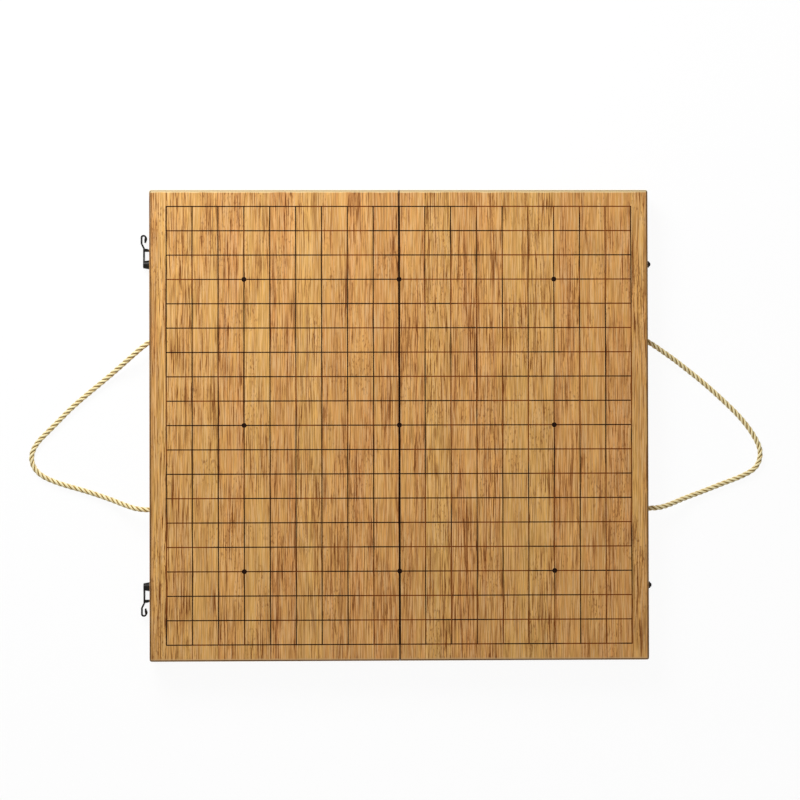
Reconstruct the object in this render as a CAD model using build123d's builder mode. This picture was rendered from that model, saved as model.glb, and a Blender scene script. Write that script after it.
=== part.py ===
"""Folding go set: a board in two hinged trays, with lids, stones, hooks and cord handles.

Millimetres. X runs across the fold, Y along it and Z up, with the board open and lying flat on z = 0.
The origin is under the middle of the fold. Left is -X, right is +X, front is -Y and back is +Y.
"""
from build123d import *
import math
import os

os.makedirs("parts", exist_ok=True)

# Playing grid
LINES = 19
LINE_PITCH_X = 23.7
LINE_PITCH_Y = 22.3
LINE_WIDTH = 1.0
CENTRE_LINE_WIDTH = 1.9
LINE_DEPTH = 0.2
STAR_DIAMETER = 4.6
STAR_SPACING_LINES = 6
MARGIN_X = 15.7
MARGIN_Y = 15.3

# Trays
PANEL_THICKNESS = 5.0
WALL_THICKNESS = 10.0
DIVIDER_THICKNESS = 5.0
FOLD_GAP = 0.4
RIM_GAP = 0.1
CORNER_RADIUS = 2.0
EDGE_ROUND = 1.8
FINGERS = 3

# Sliding lids
LID_THICKNESS = 3.0
LID_RECESS = 2.0
LID_CLEARANCE = 0.2
LID_OVERLAP = 2.0
LID_STOP_GAP = 1.0
GROOVE_DEPTH = 3.0
THUMB_GROOVE_RADIUS = 6.0
THUMB_GROOVE_DEPTH = 1.4
THUMB_GROOVE_LENGTH = 34.0
THUMB_GROOVE_INSET = 9.0

# Stones
BLACK_STONES = 181
WHITE_STONES = 180
STONE_DIAMETER = 21.0
STONE_THICKNESS = 5.6
STONE_RIM = 1.2
STONE_LAYERS = 3
STONE_GAP = 0.3
STONE_WALL_CLEARANCE = 1.25
WELL_END_CLEARANCE = 1.0

# Hinges
HINGE_LENGTH = 24.0
HINGE_INSET = 86.0
HINGE_LEAF_WIDTH = 9.0
HINGE_LEAF_THICKNESS = 0.8
HINGE_BARREL_RADIUS = 1.0
HINGE_PIN_RADIUS = 0.45
HINGE_PIN_CLEARANCE = 0.05
HINGE_PIN_HEAD_RADIUS = 0.8
HINGE_PIN_HEAD_LENGTH = 0.4
KNUCKLES = 3
KNUCKLE_GAP = 0.3
KNUCKLE_CLEARANCE = 0.25
LEAF_FIT = 0.1
LEAF_SCREW_SPACING = 15.0
LEAF_SCREW_INSET = 3.8
LEAF_SCREW_RADIUS = 0.9
LEAF_SCREW_HEAD_RADIUS = 1.7
LEAF_SCREW_HEAD_HEIGHT = 0.7
LEAF_SCREW_LENGTH = 8.0
SCREW_FIT = 0.05
SCREW_SLOT_WIDTH = 0.4
SCREW_SLOT_DEPTH = 0.3

# Swing hooks and studs
HOOK_INSET = 67.0
HOOK_STANDOFF = 6.0
HOOK_STRIP = 1.5
HOOK_BOSS_RADIUS = 4.2
HOOK_BOSS_TOP_RADIUS = 3.3
HOOK_BACK_GAP = 0.1
HOOK_CLAW_REACH = 12.0
HOOK_CLAW_THICKNESS = 2.6
HOOK_CLAW_TIP = 1.3
HOOK_CLAW_BELLY = 0.94
HOOK_CLAW_WIDTH = 3.2
HOOK_CLAW_WALL_GAP = 0.8
HOOK_ARM_LENGTH = 15.0
HOOK_LENGTH = 27.6
HOOK_FLARE = 2.3
HOOK_CURL_DEPTH = 3.9
HOOK_CURL_LENGTH = 7.4
HOOK_CURL_LEAN = 0.5
HOOK_CURL_RADIUS = 1.7
HOOK_TIP_WIDTH = 3.4
HOOK_ARM_WIDTH = 4.2
BACK_PLATE_LENGTH = 11.6
BACK_PLATE_THICKNESS = 0.8
PIVOT_SCREW_RADIUS = 1.22
PIVOT_CLEARANCE = 0.08
PIVOT_HEAD_RADIUS = 2.55
PIVOT_HEAD_HEIGHT = 1.35
STUD_COLLAR_RADIUS = 2.3
STUD_COLLAR_THICKNESS = 0.6
STUD_NECK_RADIUS = 1.4
STUD_NECK_LENGTH = 1.9
STUD_HEAD_RADIUS = 3.1
STUD_HEAD_THICKNESS = 1.4
STUD_BUTTON_RADIUS = 2.3
STUD_BUTTON_HEIGHT = 1.6
STUD_SHANK_RADIUS = 1.2
LATCH_CLEARANCE = 0.15
SHANK_GROOVE_GAP = 0.8

# Cord handles
ROPE_DIAMETER = 5.0
ROPE_HOLE_CLEARANCE = 0.4
ROPE_HOLE_CHAMFER = 1.0
ROPE_HOLE_DROP = 14.0
ROPE_TABLE_GAP = 0.4
KNOT_RADIUS = 5.5
KNOT_CLEARANCE = 0.3
KNOT_TAIL = 7.0
KNOT_DIVIDER_GAP = 0.6
BEND_SHARE = 0.45

# Worked out from the sizes above
SIDES = (("left", -1), ("right", 1))
ENDS = (("front", -1), ("back", 1))
grid_half_x = (LINES - 1) / 2 * LINE_PITCH_X
grid_half_y = (LINES - 1) / 2 * LINE_PITCH_Y
outer_x = grid_half_x + MARGIN_X
end_y = grid_half_y + MARGIN_Y
inner_x = FOLD_GAP / 2

axis_z = HINGE_BARREL_RADIUS
rim_z = axis_z + RIM_GAP / 2
well_height = STONE_LAYERS * (STONE_THICKNESS + STONE_GAP) + STONE_GAP
lid_bottom_z = rim_z + LID_RECESS
lid_top_z = lid_bottom_z + LID_THICKNESS
panel_z = lid_top_z + well_height
top_z = panel_z + PANEL_THICKNESS
wall_height = panel_z - rim_z
finger_height = wall_height / FINGERS

cavity_outer_x = outer_x - WALL_THICKNESS
cavity_inner_x = inner_x + WALL_THICKNESS
cavity_width = cavity_outer_x - cavity_inner_x
cavity_middle_x = (cavity_outer_x + cavity_inner_x) / 2
cavity_end_y = end_y - WALL_THICKNESS

stone_span = cavity_width - 2 * STONE_WALL_CLEARANCE - STONE_DIAMETER
stone_columns = int(stone_span / (STONE_DIAMETER + STONE_GAP) + 0.5)
stone_pitch = stone_span / (stone_columns - 0.5)
stone_rows = math.ceil(max(BLACK_STONES, WHITE_STONES) / (stone_columns * STONE_LAYERS))
stone_row_pitch = math.sqrt((STONE_DIAMETER + STONE_GAP) ** 2 - (stone_pitch / 2) ** 2)
well_half_y = ((stone_rows - 1) * stone_row_pitch + STONE_DIAMETER) / 2 + WELL_END_CLEARANCE
divider_half_y = well_half_y + DIVIDER_THICKNESS
divider_height = panel_z - lid_top_z - LID_CLEARANCE

lid_half_y = divider_half_y + LID_OVERLAP
lid_travel = cavity_end_y - lid_half_y - LID_STOP_GAP
lid_width = cavity_width + 2 * (GROOVE_DEPTH - LID_CLEARANCE)

hinge_y = end_y - HINGE_INSET
hook_y = end_y - HOOK_INSET
latch_span = HOOK_CLAW_REACH - LATCH_CLEARANCE - STUD_HEAD_RADIUS
pivot_z = rim_z + (latch_span - RIM_GAP) / 2
rope_hole_z = top_z - ROPE_HOLE_DROP
rope_hole_y = divider_half_y + KNOT_DIVIDER_GAP + KNOT_RADIUS
rope_hole_radius = ROPE_DIAMETER / 2 + ROPE_HOLE_CLEARANCE
rope_rest_z = ROPE_DIAMETER / 2 + ROPE_TABLE_GAP
shank_depth = WALL_THICKNESS - GROOVE_DEPTH - SHANK_GROOVE_GAP

# Routes of the cord handles on the table, from the back hole to the front hole, chosen by hand.
# Each is a list of X outwards from the fold, Y and Z.
LEFT_ROPE_ROUTE = [
    (outer_x, rope_hole_y, rope_hole_z),
    (239.5, rope_hole_y, rope_hole_z),
    (249.2, 72.4, 13.4),
    (262.4, 57.4, 7.6),
    (280.5, 38.6, 3.4),
    (302.0, 18.0, rope_rest_z),
    (322.0, -2.6, rope_rest_z),
    (337.2, -17.5, rope_rest_z),
    (341.5, -32.0, rope_rest_z),
    (333.5, -45.5, rope_rest_z),
    (314.0, -53.8, rope_rest_z),
    (290.0, -60.4, rope_rest_z),
    (269.0, -67.4, 4.6),
    (252.4, -73.6, 10.4),
    (239.5, -rope_hole_y, rope_hole_z),
    (outer_x, -rope_hole_y, rope_hole_z),
]
RIGHT_ROPE_ROUTE = [
    (outer_x, rope_hole_y, rope_hole_z),
    (239.5, rope_hole_y, rope_hole_z),
    (249.4, 72.2, 13.2),
    (263.0, 57.2, 7.2),
    (281.4, 41.4, 3.2),
    (300.6, 24.0, rope_rest_z),
    (319.6, 5.4, rope_rest_z),
    (331.5, -11.0, rope_rest_z),
    (338.0, -25.5, rope_rest_z),
    (334.0, -40.5, rope_rest_z),
    (319.5, -48.6, rope_rest_z),
    (302.0, -54.9, rope_rest_z),
    (283.0, -62.4, 3.2),
    (264.6, -68.8, 6.0),
    (251.0, -74.2, 11.4),
    (239.5, -rope_hole_y, rope_hole_z),
    (outer_x, -rope_hole_y, rope_hole_z),
]


def half_footprint(side):
    """Outline of one half seen from above, with its two outer corners rounded."""
    with Locations((side * (inner_x + outer_x) / 2, 0)):
        outline = Rectangle(outer_x - inner_x, 2 * end_y)
    fillet(outline.vertices().sort_by(Axis.X, reverse=side > 0)[:2], CORNER_RADIUS)


def cut_along_x(radius, x_from, x_to, y, z):
    """Bores a round hole along X between two planes."""
    with Locations(Location(((x_from + x_to) / 2, y, z), (0, 90, 0))):
        Cylinder(radius, abs(x_to - x_from), mode=Mode.SUBTRACT)


def outward_plane(side, y, z):
    """Plane on the outer wall's face, whose local X points away from the board and local Y along the board."""
    return Plane(origin=(side * outer_x, y, z), x_dir=(side, 0, 0), z_dir=(0, 0, 1))


def keep(piece, name):
    """Labels a finished piece and writes it."""
    piece.part.label = name
    export_step(piece.part, f"parts/{name}.step")


def finger_slots(first):
    """Heights of a corner's finger slots, from the given level up, every second level."""
    for level in range(first, FINGERS, 2):
        yield rim_z + (level + 0.5) * finger_height


# Playing panels, with the grid engraved in them
for side_name, side in SIDES:
    with BuildPart() as playing_panel:
        with BuildSketch(Plane.XY.offset(panel_z)):
            half_footprint(side)
        extrude(amount=PANEL_THICKNESS)
        top_edges = playing_panel.faces().sort_by(Axis.Z)[-1].edges()
        fillet(top_edges.filter_by(lambda edge: abs(edge.center().X) > WALL_THICKNESS), EDGE_ROUND)
        with BuildSketch(Plane.XY.offset(top_z)):
            for line in range(1, LINES // 2 + 1):
                with Locations((side * line * LINE_PITCH_X, 0)):
                    Rectangle(LINE_WIDTH, 2 * grid_half_y + LINE_WIDTH)
            with Locations((side * CENTRE_LINE_WIDTH / 4, 0)):
                Rectangle(CENTRE_LINE_WIDTH / 2, 2 * grid_half_y + LINE_WIDTH)
            across = grid_half_x + LINE_WIDTH / 2
            for line in range(LINES):
                with Locations((side * across / 2, line * LINE_PITCH_Y - grid_half_y)):
                    Rectangle(across, LINE_WIDTH)
            for column in (0, 1):
                for row in (-1, 0, 1):
                    star_x = side * column * STAR_SPACING_LINES * LINE_PITCH_X
                    with Locations((star_x, row * STAR_SPACING_LINES * LINE_PITCH_Y)):
                        Circle(STAR_DIAMETER / 2)
        extrude(amount=-LINE_DEPTH, mode=Mode.SUBTRACT)
    keep(playing_panel, f"{side_name}_playing_panel")

# Outer walls, with the rope holes, the lid groove and the holes of the hooks or the studs
for side_name, side in SIDES:
    with BuildPart() as outer_wall:
        with BuildSketch(Plane.XY.offset(rim_z)):
            half_footprint(side)
            with Locations((side * (outer_x - WALL_THICKNESS / 2), 0)):
                Rectangle(WALL_THICKNESS, 2 * end_y, mode=Mode.INTERSECT)
        extrude(amount=wall_height)
        for slot_z in finger_slots(1):
            with Locations(
                (side * (outer_x - WALL_THICKNESS / 2), end_y - WALL_THICKNESS / 2, slot_z),
                (side * (outer_x - WALL_THICKNESS / 2), WALL_THICKNESS / 2 - end_y, slot_z),
            ):
                Box(WALL_THICKNESS, WALL_THICKNESS, finger_height, mode=Mode.SUBTRACT)
        groove_start = -lid_half_y - LID_CLEARANCE
        with Locations(
            (
                side * (cavity_outer_x + GROOVE_DEPTH / 2),
                (groove_start + cavity_end_y) / 2,
                (lid_bottom_z + lid_top_z) / 2,
            )
        ):
            Box(
                GROOVE_DEPTH,
                cavity_end_y - groove_start,
                LID_THICKNESS + 2 * LID_CLEARANCE,
                mode=Mode.SUBTRACT,
            )
        for _, end in ENDS:
            cut_along_x(
                rope_hole_radius, side * cavity_outer_x, side * outer_x, end * rope_hole_y, rope_hole_z
            )
            with Locations(
                Location(
                    (side * (outer_x - ROPE_HOLE_CHAMFER / 2), end * rope_hole_y, rope_hole_z),
                    (0, side * 90, 0),
                )
            ):
                Cone(
                    rope_hole_radius,
                    rope_hole_radius + ROPE_HOLE_CHAMFER,
                    ROPE_HOLE_CHAMFER,
                    mode=Mode.SUBTRACT,
                )
            fixing_radius = PIVOT_SCREW_RADIUS if side < 0 else STUD_SHANK_RADIUS
            cut_along_x(
                fixing_radius + SCREW_FIT,
                side * (outer_x - shank_depth - SCREW_FIT),
                side * outer_x,
                end * hook_y,
                pivot_z,
            )
    keep(outer_wall, f"{side_name}_outer_wall")

# Middle walls, which meet at the fold, with the seats of the hinges
for side_name, side in SIDES:
    with BuildPart() as middle_wall:
        wall_x = side * (inner_x + WALL_THICKNESS / 2)
        with BuildSketch(Plane.XY.offset(rim_z)):
            with Locations((wall_x, 0)):
                Rectangle(WALL_THICKNESS, 2 * end_y)
        extrude(amount=wall_height)
        for slot_z in finger_slots(1):
            with Locations(
                (wall_x, end_y - WALL_THICKNESS / 2, slot_z),
                (wall_x, WALL_THICKNESS / 2 - end_y, slot_z),
            ):
                Box(WALL_THICKNESS, WALL_THICKNESS, finger_height, mode=Mode.SUBTRACT)
        groove_start = -lid_half_y - LID_CLEARANCE
        with Locations(
            (
                side * (cavity_inner_x - GROOVE_DEPTH / 2),
                (groove_start + cavity_end_y) / 2,
                (lid_bottom_z + lid_top_z) / 2,
            )
        ):
            Box(
                GROOVE_DEPTH,
                cavity_end_y - groove_start,
                LID_THICKNESS + 2 * LID_CLEARANCE,
                mode=Mode.SUBTRACT,
            )
        for _, end in ENDS:
            seat_width = HINGE_LEAF_WIDTH + LEAF_FIT
            with Locations(
                (side * seat_width / 2, end * hinge_y, rim_z + HINGE_LEAF_THICKNESS / 2)
            ):
                Box(
                    seat_width,
                    HINGE_LENGTH + 2 * LEAF_FIT,
                    HINGE_LEAF_THICKNESS,
                    mode=Mode.SUBTRACT,
                )
            with Locations(Location((0, end * hinge_y, axis_z), (90, 0, 0))):
                Cylinder(
                    HINGE_BARREL_RADIUS + KNUCKLE_CLEARANCE,
                    HINGE_LENGTH + 2 * (HINGE_PIN_HEAD_LENGTH + LEAF_FIT),
                    mode=Mode.SUBTRACT,
                )
            for along in (-1, 1):
                screw_x = side * (HINGE_LEAF_WIDTH - LEAF_SCREW_INSET)
                screw_y = end * hinge_y + along * LEAF_SCREW_SPACING / 2
                with Locations((screw_x, screw_y, rim_z + (LEAF_SCREW_LENGTH + SCREW_FIT) / 2)):
                    Cylinder(
                        LEAF_SCREW_RADIUS + SCREW_FIT,
                        LEAF_SCREW_LENGTH + SCREW_FIT,
                        mode=Mode.SUBTRACT,
                    )
    keep(middle_wall, f"{side_name}_middle_wall")

# Front and back walls, which join the outer and middle walls with a finger at each end
for side_name, side in SIDES:
    for end_name, end in ENDS:
        with BuildPart() as end_wall:
            wall_y = end * (end_y - WALL_THICKNESS / 2)
            with BuildSketch(Plane.XY.offset(rim_z)):
                half_footprint(side)
                with Locations((side * (inner_x + outer_x) / 2, wall_y)):
                    Rectangle(outer_x - inner_x, WALL_THICKNESS, mode=Mode.INTERSECT)
            extrude(amount=wall_height)
            for slot_z in finger_slots(0):
                with Locations(
                    (side * (inner_x + WALL_THICKNESS / 2), wall_y, slot_z),
                    (side * (outer_x - WALL_THICKNESS / 2), wall_y, slot_z),
                ):
                    Box(WALL_THICKNESS, WALL_THICKNESS, finger_height, mode=Mode.SUBTRACT)
        keep(end_wall, f"{side_name}_{end_name}_wall")

# Dividers on each side of the stone wells
for side_name, side in SIDES:
    for end_name, end in ENDS:
        with BuildPart() as divider:
            divider_y = end * (well_half_y + DIVIDER_THICKNESS / 2)
            with BuildSketch(Plane.XY.offset(panel_z - divider_height)):
                with Locations((side * cavity_middle_x, divider_y)):
                    Rectangle(cavity_width, DIVIDER_THICKNESS)
            extrude(amount=divider_height)
        keep(divider, f"{side_name}_{end_name}_divider")

# Sliding lids, with a thumb groove in the face that shows
for side_name, side in SIDES:
    with BuildPart() as lid:
        with BuildSketch(Plane.XY.offset(lid_bottom_z)):
            with Locations((side * cavity_middle_x, 0)):
                Rectangle(lid_width, 2 * lid_half_y)
        extrude(amount=LID_THICKNESS)
        groove_centre_z = lid_bottom_z + THUMB_GROOVE_DEPTH - THUMB_GROOVE_RADIUS
        with Locations(
            Location(
                (side * cavity_middle_x, lid_half_y - THUMB_GROOVE_INSET, groove_centre_z), (0, 90, 0)
            )
        ):
            Cylinder(THUMB_GROOVE_RADIUS, THUMB_GROOVE_LENGTH, mode=Mode.SUBTRACT)
    keep(lid, f"{side_name}_lid")

# Hinges: two leaves let into the rims, and a pin
knuckle_pitch = HINGE_LENGTH / KNUCKLES
plate_start = HINGE_BARREL_RADIUS + KNUCKLE_CLEARANCE
for end_name, end in ENDS:
    for side_name, side in SIDES:
        with BuildPart() as leaf:
            with BuildSketch(Plane.XY.offset(rim_z)):
                with Locations((side * (plate_start + HINGE_LEAF_WIDTH) / 2, end * hinge_y)):
                    Rectangle(HINGE_LEAF_WIDTH - plate_start, HINGE_LENGTH)
            extrude(amount=HINGE_LEAF_THICKNESS)
            for knuckle in range(KNUCKLES):
                if (knuckle % 2 == 0) != (side < 0):
                    continue
                low = -HINGE_LENGTH / 2 + knuckle * knuckle_pitch + (KNUCKLE_GAP / 2 if knuckle else 0)
                high = low + knuckle_pitch - KNUCKLE_GAP / 2
                if 0 < knuckle < KNUCKLES - 1:
                    high -= KNUCKLE_GAP / 2
                middle = end * hinge_y + (low + high) / 2
                with Locations((side * plate_start / 2, middle, rim_z + HINGE_LEAF_THICKNESS / 2)):
                    Box(plate_start, high - low, HINGE_LEAF_THICKNESS)
                with Locations(Location((0, middle, axis_z), (90, 0, 0))):
                    Cylinder(HINGE_BARREL_RADIUS, high - low)
            with Locations(Location((0, end * hinge_y, axis_z), (90, 0, 0))):
                Cylinder(
                    HINGE_PIN_RADIUS + HINGE_PIN_CLEARANCE, HINGE_LENGTH, mode=Mode.SUBTRACT
                )
            for along in (-1, 1):
                screw_x = side * (HINGE_LEAF_WIDTH - LEAF_SCREW_INSET)
                screw_y = end * hinge_y + along * LEAF_SCREW_SPACING / 2
                with Locations((screw_x, screw_y, rim_z + LEAF_SCREW_HEAD_HEIGHT / 2)):
                    Cone(
                        LEAF_SCREW_HEAD_RADIUS + SCREW_FIT,
                        LEAF_SCREW_RADIUS + SCREW_FIT,
                        LEAF_SCREW_HEAD_HEIGHT,
                        mode=Mode.SUBTRACT,
                    )
                with Locations((screw_x, screw_y, rim_z + HINGE_LEAF_THICKNESS / 2)):
                    Cylinder(
                        LEAF_SCREW_RADIUS + SCREW_FIT, HINGE_LEAF_THICKNESS, mode=Mode.SUBTRACT
                    )
        keep(leaf, f"{end_name}_hinge_{side_name}_leaf")

    with BuildPart() as pin:
        with Locations(Location((0, end * hinge_y, axis_z), (90, 0, 0))):
            Cylinder(HINGE_PIN_RADIUS, HINGE_LENGTH)
        for along in (-1, 1):
            head_y = end * hinge_y + along * (HINGE_LENGTH + HINGE_PIN_HEAD_LENGTH) / 2
            with Locations(Location((0, head_y, axis_z), (90, 0, 0))):
                Cylinder(HINGE_PIN_HEAD_RADIUS, HINGE_PIN_HEAD_LENGTH)
    keep(pin, f"{end_name}_hinge_pin")

# Countersunk screws of the hinges, one group in each half
for side_name, side in SIDES:
    with BuildPart() as hinge_screws:
        for _, end in ENDS:
            for along in (-1, 1):
                screw_x = side * (HINGE_LEAF_WIDTH - LEAF_SCREW_INSET)
                screw_y = end * hinge_y + along * LEAF_SCREW_SPACING / 2
                with Locations((screw_x, screw_y, rim_z + LEAF_SCREW_HEAD_HEIGHT / 2)):
                    Cone(LEAF_SCREW_HEAD_RADIUS, LEAF_SCREW_RADIUS, LEAF_SCREW_HEAD_HEIGHT)
                with Locations((screw_x, screw_y, rim_z + LEAF_SCREW_LENGTH / 2)):
                    Cylinder(LEAF_SCREW_RADIUS, LEAF_SCREW_LENGTH)
                with Locations((screw_x, screw_y, rim_z + SCREW_SLOT_DEPTH / 2)):
                    Box(
                        SCREW_SLOT_WIDTH,
                        2 * LEAF_SCREW_HEAD_RADIUS,
                        SCREW_SLOT_DEPTH,
                        mode=Mode.SUBTRACT,
                    )
    keep(hinge_screws, f"{side_name}_hinge_screws")

# Swing hooks on the left side, each with its back plate and its screw
boss_top = HOOK_STANDOFF + HOOK_STRIP
boss_base = BACK_PLATE_THICKNESS + HOOK_BACK_GAP
for end_name, end in ENDS:
    pivot_plane = outward_plane(-1, end * hook_y, pivot_z)
    along_y = pivot_plane.y_dir.Y * end
    turned = Plane(
        origin=pivot_plane.origin, x_dir=pivot_plane.x_dir, z_dir=(0, 0, along_y * pivot_plane.z_dir.Z)
    )

    with BuildPart() as back_plate:
        with BuildSketch(Plane(origin=turned.origin, x_dir=(0, 1, 0), z_dir=(-1, 0, 0))):
            Ellipse(BACK_PLATE_LENGTH / 2, HOOK_BOSS_RADIUS)
            Circle(PIVOT_SCREW_RADIUS + PIVOT_CLEARANCE, mode=Mode.SUBTRACT)
        extrude(amount=BACK_PLATE_THICKNESS)
    keep(back_plate, f"{end_name}_hook_plate")

    with BuildPart() as hook:
        strip_middle = HOOK_STANDOFF + HOOK_STRIP / 2
        with BuildSketch(turned):
            with BuildLine():
                FilletPolyline(
                    (strip_middle, 0),
                    (strip_middle, HOOK_ARM_LENGTH),
                    (strip_middle + HOOK_FLARE, HOOK_ARM_LENGTH + 2 * HOOK_FLARE),
                    (strip_middle + HOOK_FLARE, HOOK_LENGTH - HOOK_STRIP / 2),
                    (strip_middle + HOOK_FLARE - HOOK_CURL_DEPTH, HOOK_LENGTH - HOOK_STRIP / 2),
                    (
                        strip_middle + HOOK_FLARE - HOOK_CURL_DEPTH + HOOK_CURL_LEAN,
                        HOOK_LENGTH - HOOK_CURL_LENGTH,
                    ),
                    radius=HOOK_CURL_RADIUS,
                )
            trace(line_width=HOOK_STRIP)
        extrude(amount=HOOK_BOSS_RADIUS, both=True)
        with BuildSketch(
            Plane(origin=turned.origin, x_dir=turned.y_dir, z_dir=turned.x_dir), mode=Mode.PRIVATE
        ) as outline:
            Circle(HOOK_BOSS_TOP_RADIUS)
            with BuildLine():
                Polyline(
                    (0, HOOK_BOSS_TOP_RADIUS),
                    (2 * HOOK_BOSS_TOP_RADIUS, HOOK_ARM_WIDTH / 2),
                    (HOOK_LENGTH, HOOK_TIP_WIDTH / 2),
                    (HOOK_LENGTH, -HOOK_TIP_WIDTH / 2),
                    (2 * HOOK_BOSS_TOP_RADIUS, -HOOK_ARM_WIDTH / 2),
                    (0, -HOOK_BOSS_TOP_RADIUS),
                    close=True,
                )
            make_face()
        extrude(outline.sketch, amount=2 * boss_top, mode=Mode.INTERSECT)
        with BuildSketch(turned):
            with BuildLine():
                Polyline(
                    (boss_base, 0),
                    (boss_base, HOOK_BOSS_RADIUS),
                    (boss_base + HOOK_STRIP, HOOK_BOSS_RADIUS),
                    (boss_top, HOOK_BOSS_TOP_RADIUS),
                    (boss_top, 0),
                    close=True,
                )
            make_face()
        revolve(axis=Axis(turned.origin, turned.x_dir))
        with BuildSketch(turned):
            with BuildLine():
                Line((boss_top - HOOK_STRIP / 2, HOOK_CLAW_REACH), (HOOK_CLAW_WALL_GAP, HOOK_CLAW_REACH))
                Line(
                    (HOOK_CLAW_WALL_GAP, HOOK_CLAW_REACH),
                    (HOOK_CLAW_WALL_GAP, HOOK_CLAW_REACH + HOOK_CLAW_TIP),
                )
                ThreePointArc(
                    (HOOK_CLAW_WALL_GAP, HOOK_CLAW_REACH + HOOK_CLAW_TIP),
                    (HOOK_STANDOFF / 2, HOOK_CLAW_REACH + HOOK_CLAW_BELLY * HOOK_CLAW_THICKNESS),
                    (boss_top - HOOK_STRIP / 2, HOOK_CLAW_REACH + HOOK_CLAW_THICKNESS),
                )
                Line(
                    (boss_top - HOOK_STRIP / 2, HOOK_CLAW_REACH + HOOK_CLAW_THICKNESS),
                    (boss_top - HOOK_STRIP / 2, HOOK_CLAW_REACH),
                )
            make_face()
        extrude(amount=HOOK_CLAW_WIDTH / 2, both=True)
        with BuildSketch(turned):
            with BuildLine():
                Polyline(
                    (0, 0),
                    (0, PIVOT_SCREW_RADIUS + PIVOT_CLEARANCE),
                    (boss_top - PIVOT_HEAD_HEIGHT, PIVOT_SCREW_RADIUS + PIVOT_CLEARANCE),
                    (boss_top, PIVOT_HEAD_RADIUS + PIVOT_CLEARANCE),
                    (boss_top + HOOK_STRIP, PIVOT_HEAD_RADIUS + PIVOT_CLEARANCE),
                    (boss_top + HOOK_STRIP, 0),
                    close=True,
                )
            make_face()
        revolve(axis=Axis(turned.origin, turned.x_dir), mode=Mode.SUBTRACT)
    keep(hook, f"{end_name}_hook")

    with BuildPart() as pivot_screw:
        with BuildSketch(turned):
            with BuildLine():
                Polyline(
                    (-shank_depth, 0),
                    (PIVOT_SCREW_RADIUS - shank_depth, PIVOT_SCREW_RADIUS),
                    (boss_top - PIVOT_HEAD_HEIGHT + PIVOT_CLEARANCE, PIVOT_SCREW_RADIUS),
                    (boss_top, PIVOT_HEAD_RADIUS - PIVOT_CLEARANCE),
                    (boss_top, 0),
                    close=True,
                )
            make_face()
        revolve(axis=Axis(turned.origin, turned.x_dir))
        with Locations((turned.origin.X - boss_top + SCREW_SLOT_DEPTH, end * hook_y, pivot_z)):
            Box(
                2 * SCREW_SLOT_DEPTH,
                2 * PIVOT_HEAD_RADIUS,
                2 * SCREW_SLOT_WIDTH,
                mode=Mode.SUBTRACT,
            )
    keep(pivot_screw, f"{end_name}_hook_screw")

# Studs on the right side, which the hooks catch
stud_head_start = STUD_COLLAR_THICKNESS + STUD_NECK_LENGTH
stud_button_start = stud_head_start + STUD_HEAD_THICKNESS
stud_top = stud_button_start + STUD_BUTTON_HEIGHT
dome_middle = math.sqrt(0.5)
for end_name, end in ENDS:
    stud_plane = outward_plane(1, end * hook_y, pivot_z)
    with BuildPart() as stud:
        with BuildSketch(stud_plane):
            with BuildLine():
                Polyline(
                    (stud_button_start, STUD_BUTTON_RADIUS),
                    (stud_button_start, STUD_HEAD_RADIUS),
                    (stud_head_start, STUD_HEAD_RADIUS),
                    (stud_head_start, STUD_NECK_RADIUS),
                    (STUD_COLLAR_THICKNESS, STUD_NECK_RADIUS),
                    (STUD_COLLAR_THICKNESS, STUD_COLLAR_RADIUS),
                    (0, STUD_COLLAR_RADIUS),
                    (0, STUD_SHANK_RADIUS),
                    (STUD_SHANK_RADIUS - shank_depth, STUD_SHANK_RADIUS),
                    (-shank_depth, 0),
                    (stud_top, 0),
                )
                ThreePointArc(
                    (stud_top, 0),
                    (
                        stud_button_start + dome_middle * STUD_BUTTON_HEIGHT,
                        dome_middle * STUD_BUTTON_RADIUS,
                    ),
                    (stud_button_start, STUD_BUTTON_RADIUS),
                )
            make_face()
        revolve(axis=Axis(stud_plane.origin, stud_plane.x_dir))
    keep(stud, f"{end_name}_stud")


def route_lengths(points):
    """Lengths of the straight runs between the points of a route."""
    return [(Vector(*b) - Vector(*a)).length for a, b in zip(points, points[1:])]


def bend_radii(points):
    """Radius of the arc at each inner point: 0.45 of the shorter run over the tangent of half the turn."""
    radii = []
    for before, corner, after in zip(points, points[1:], points[2:]):
        way_in = Vector(*corner) - Vector(*before)
        way_out = Vector(*after) - Vector(*corner)
        half_turn = math.radians(way_in.get_angle(way_out)) / 2
        shorter = min(way_in.length, way_out.length)
        radii.append(BEND_SHARE * shorter / math.tan(half_turn))
    return radii


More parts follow.
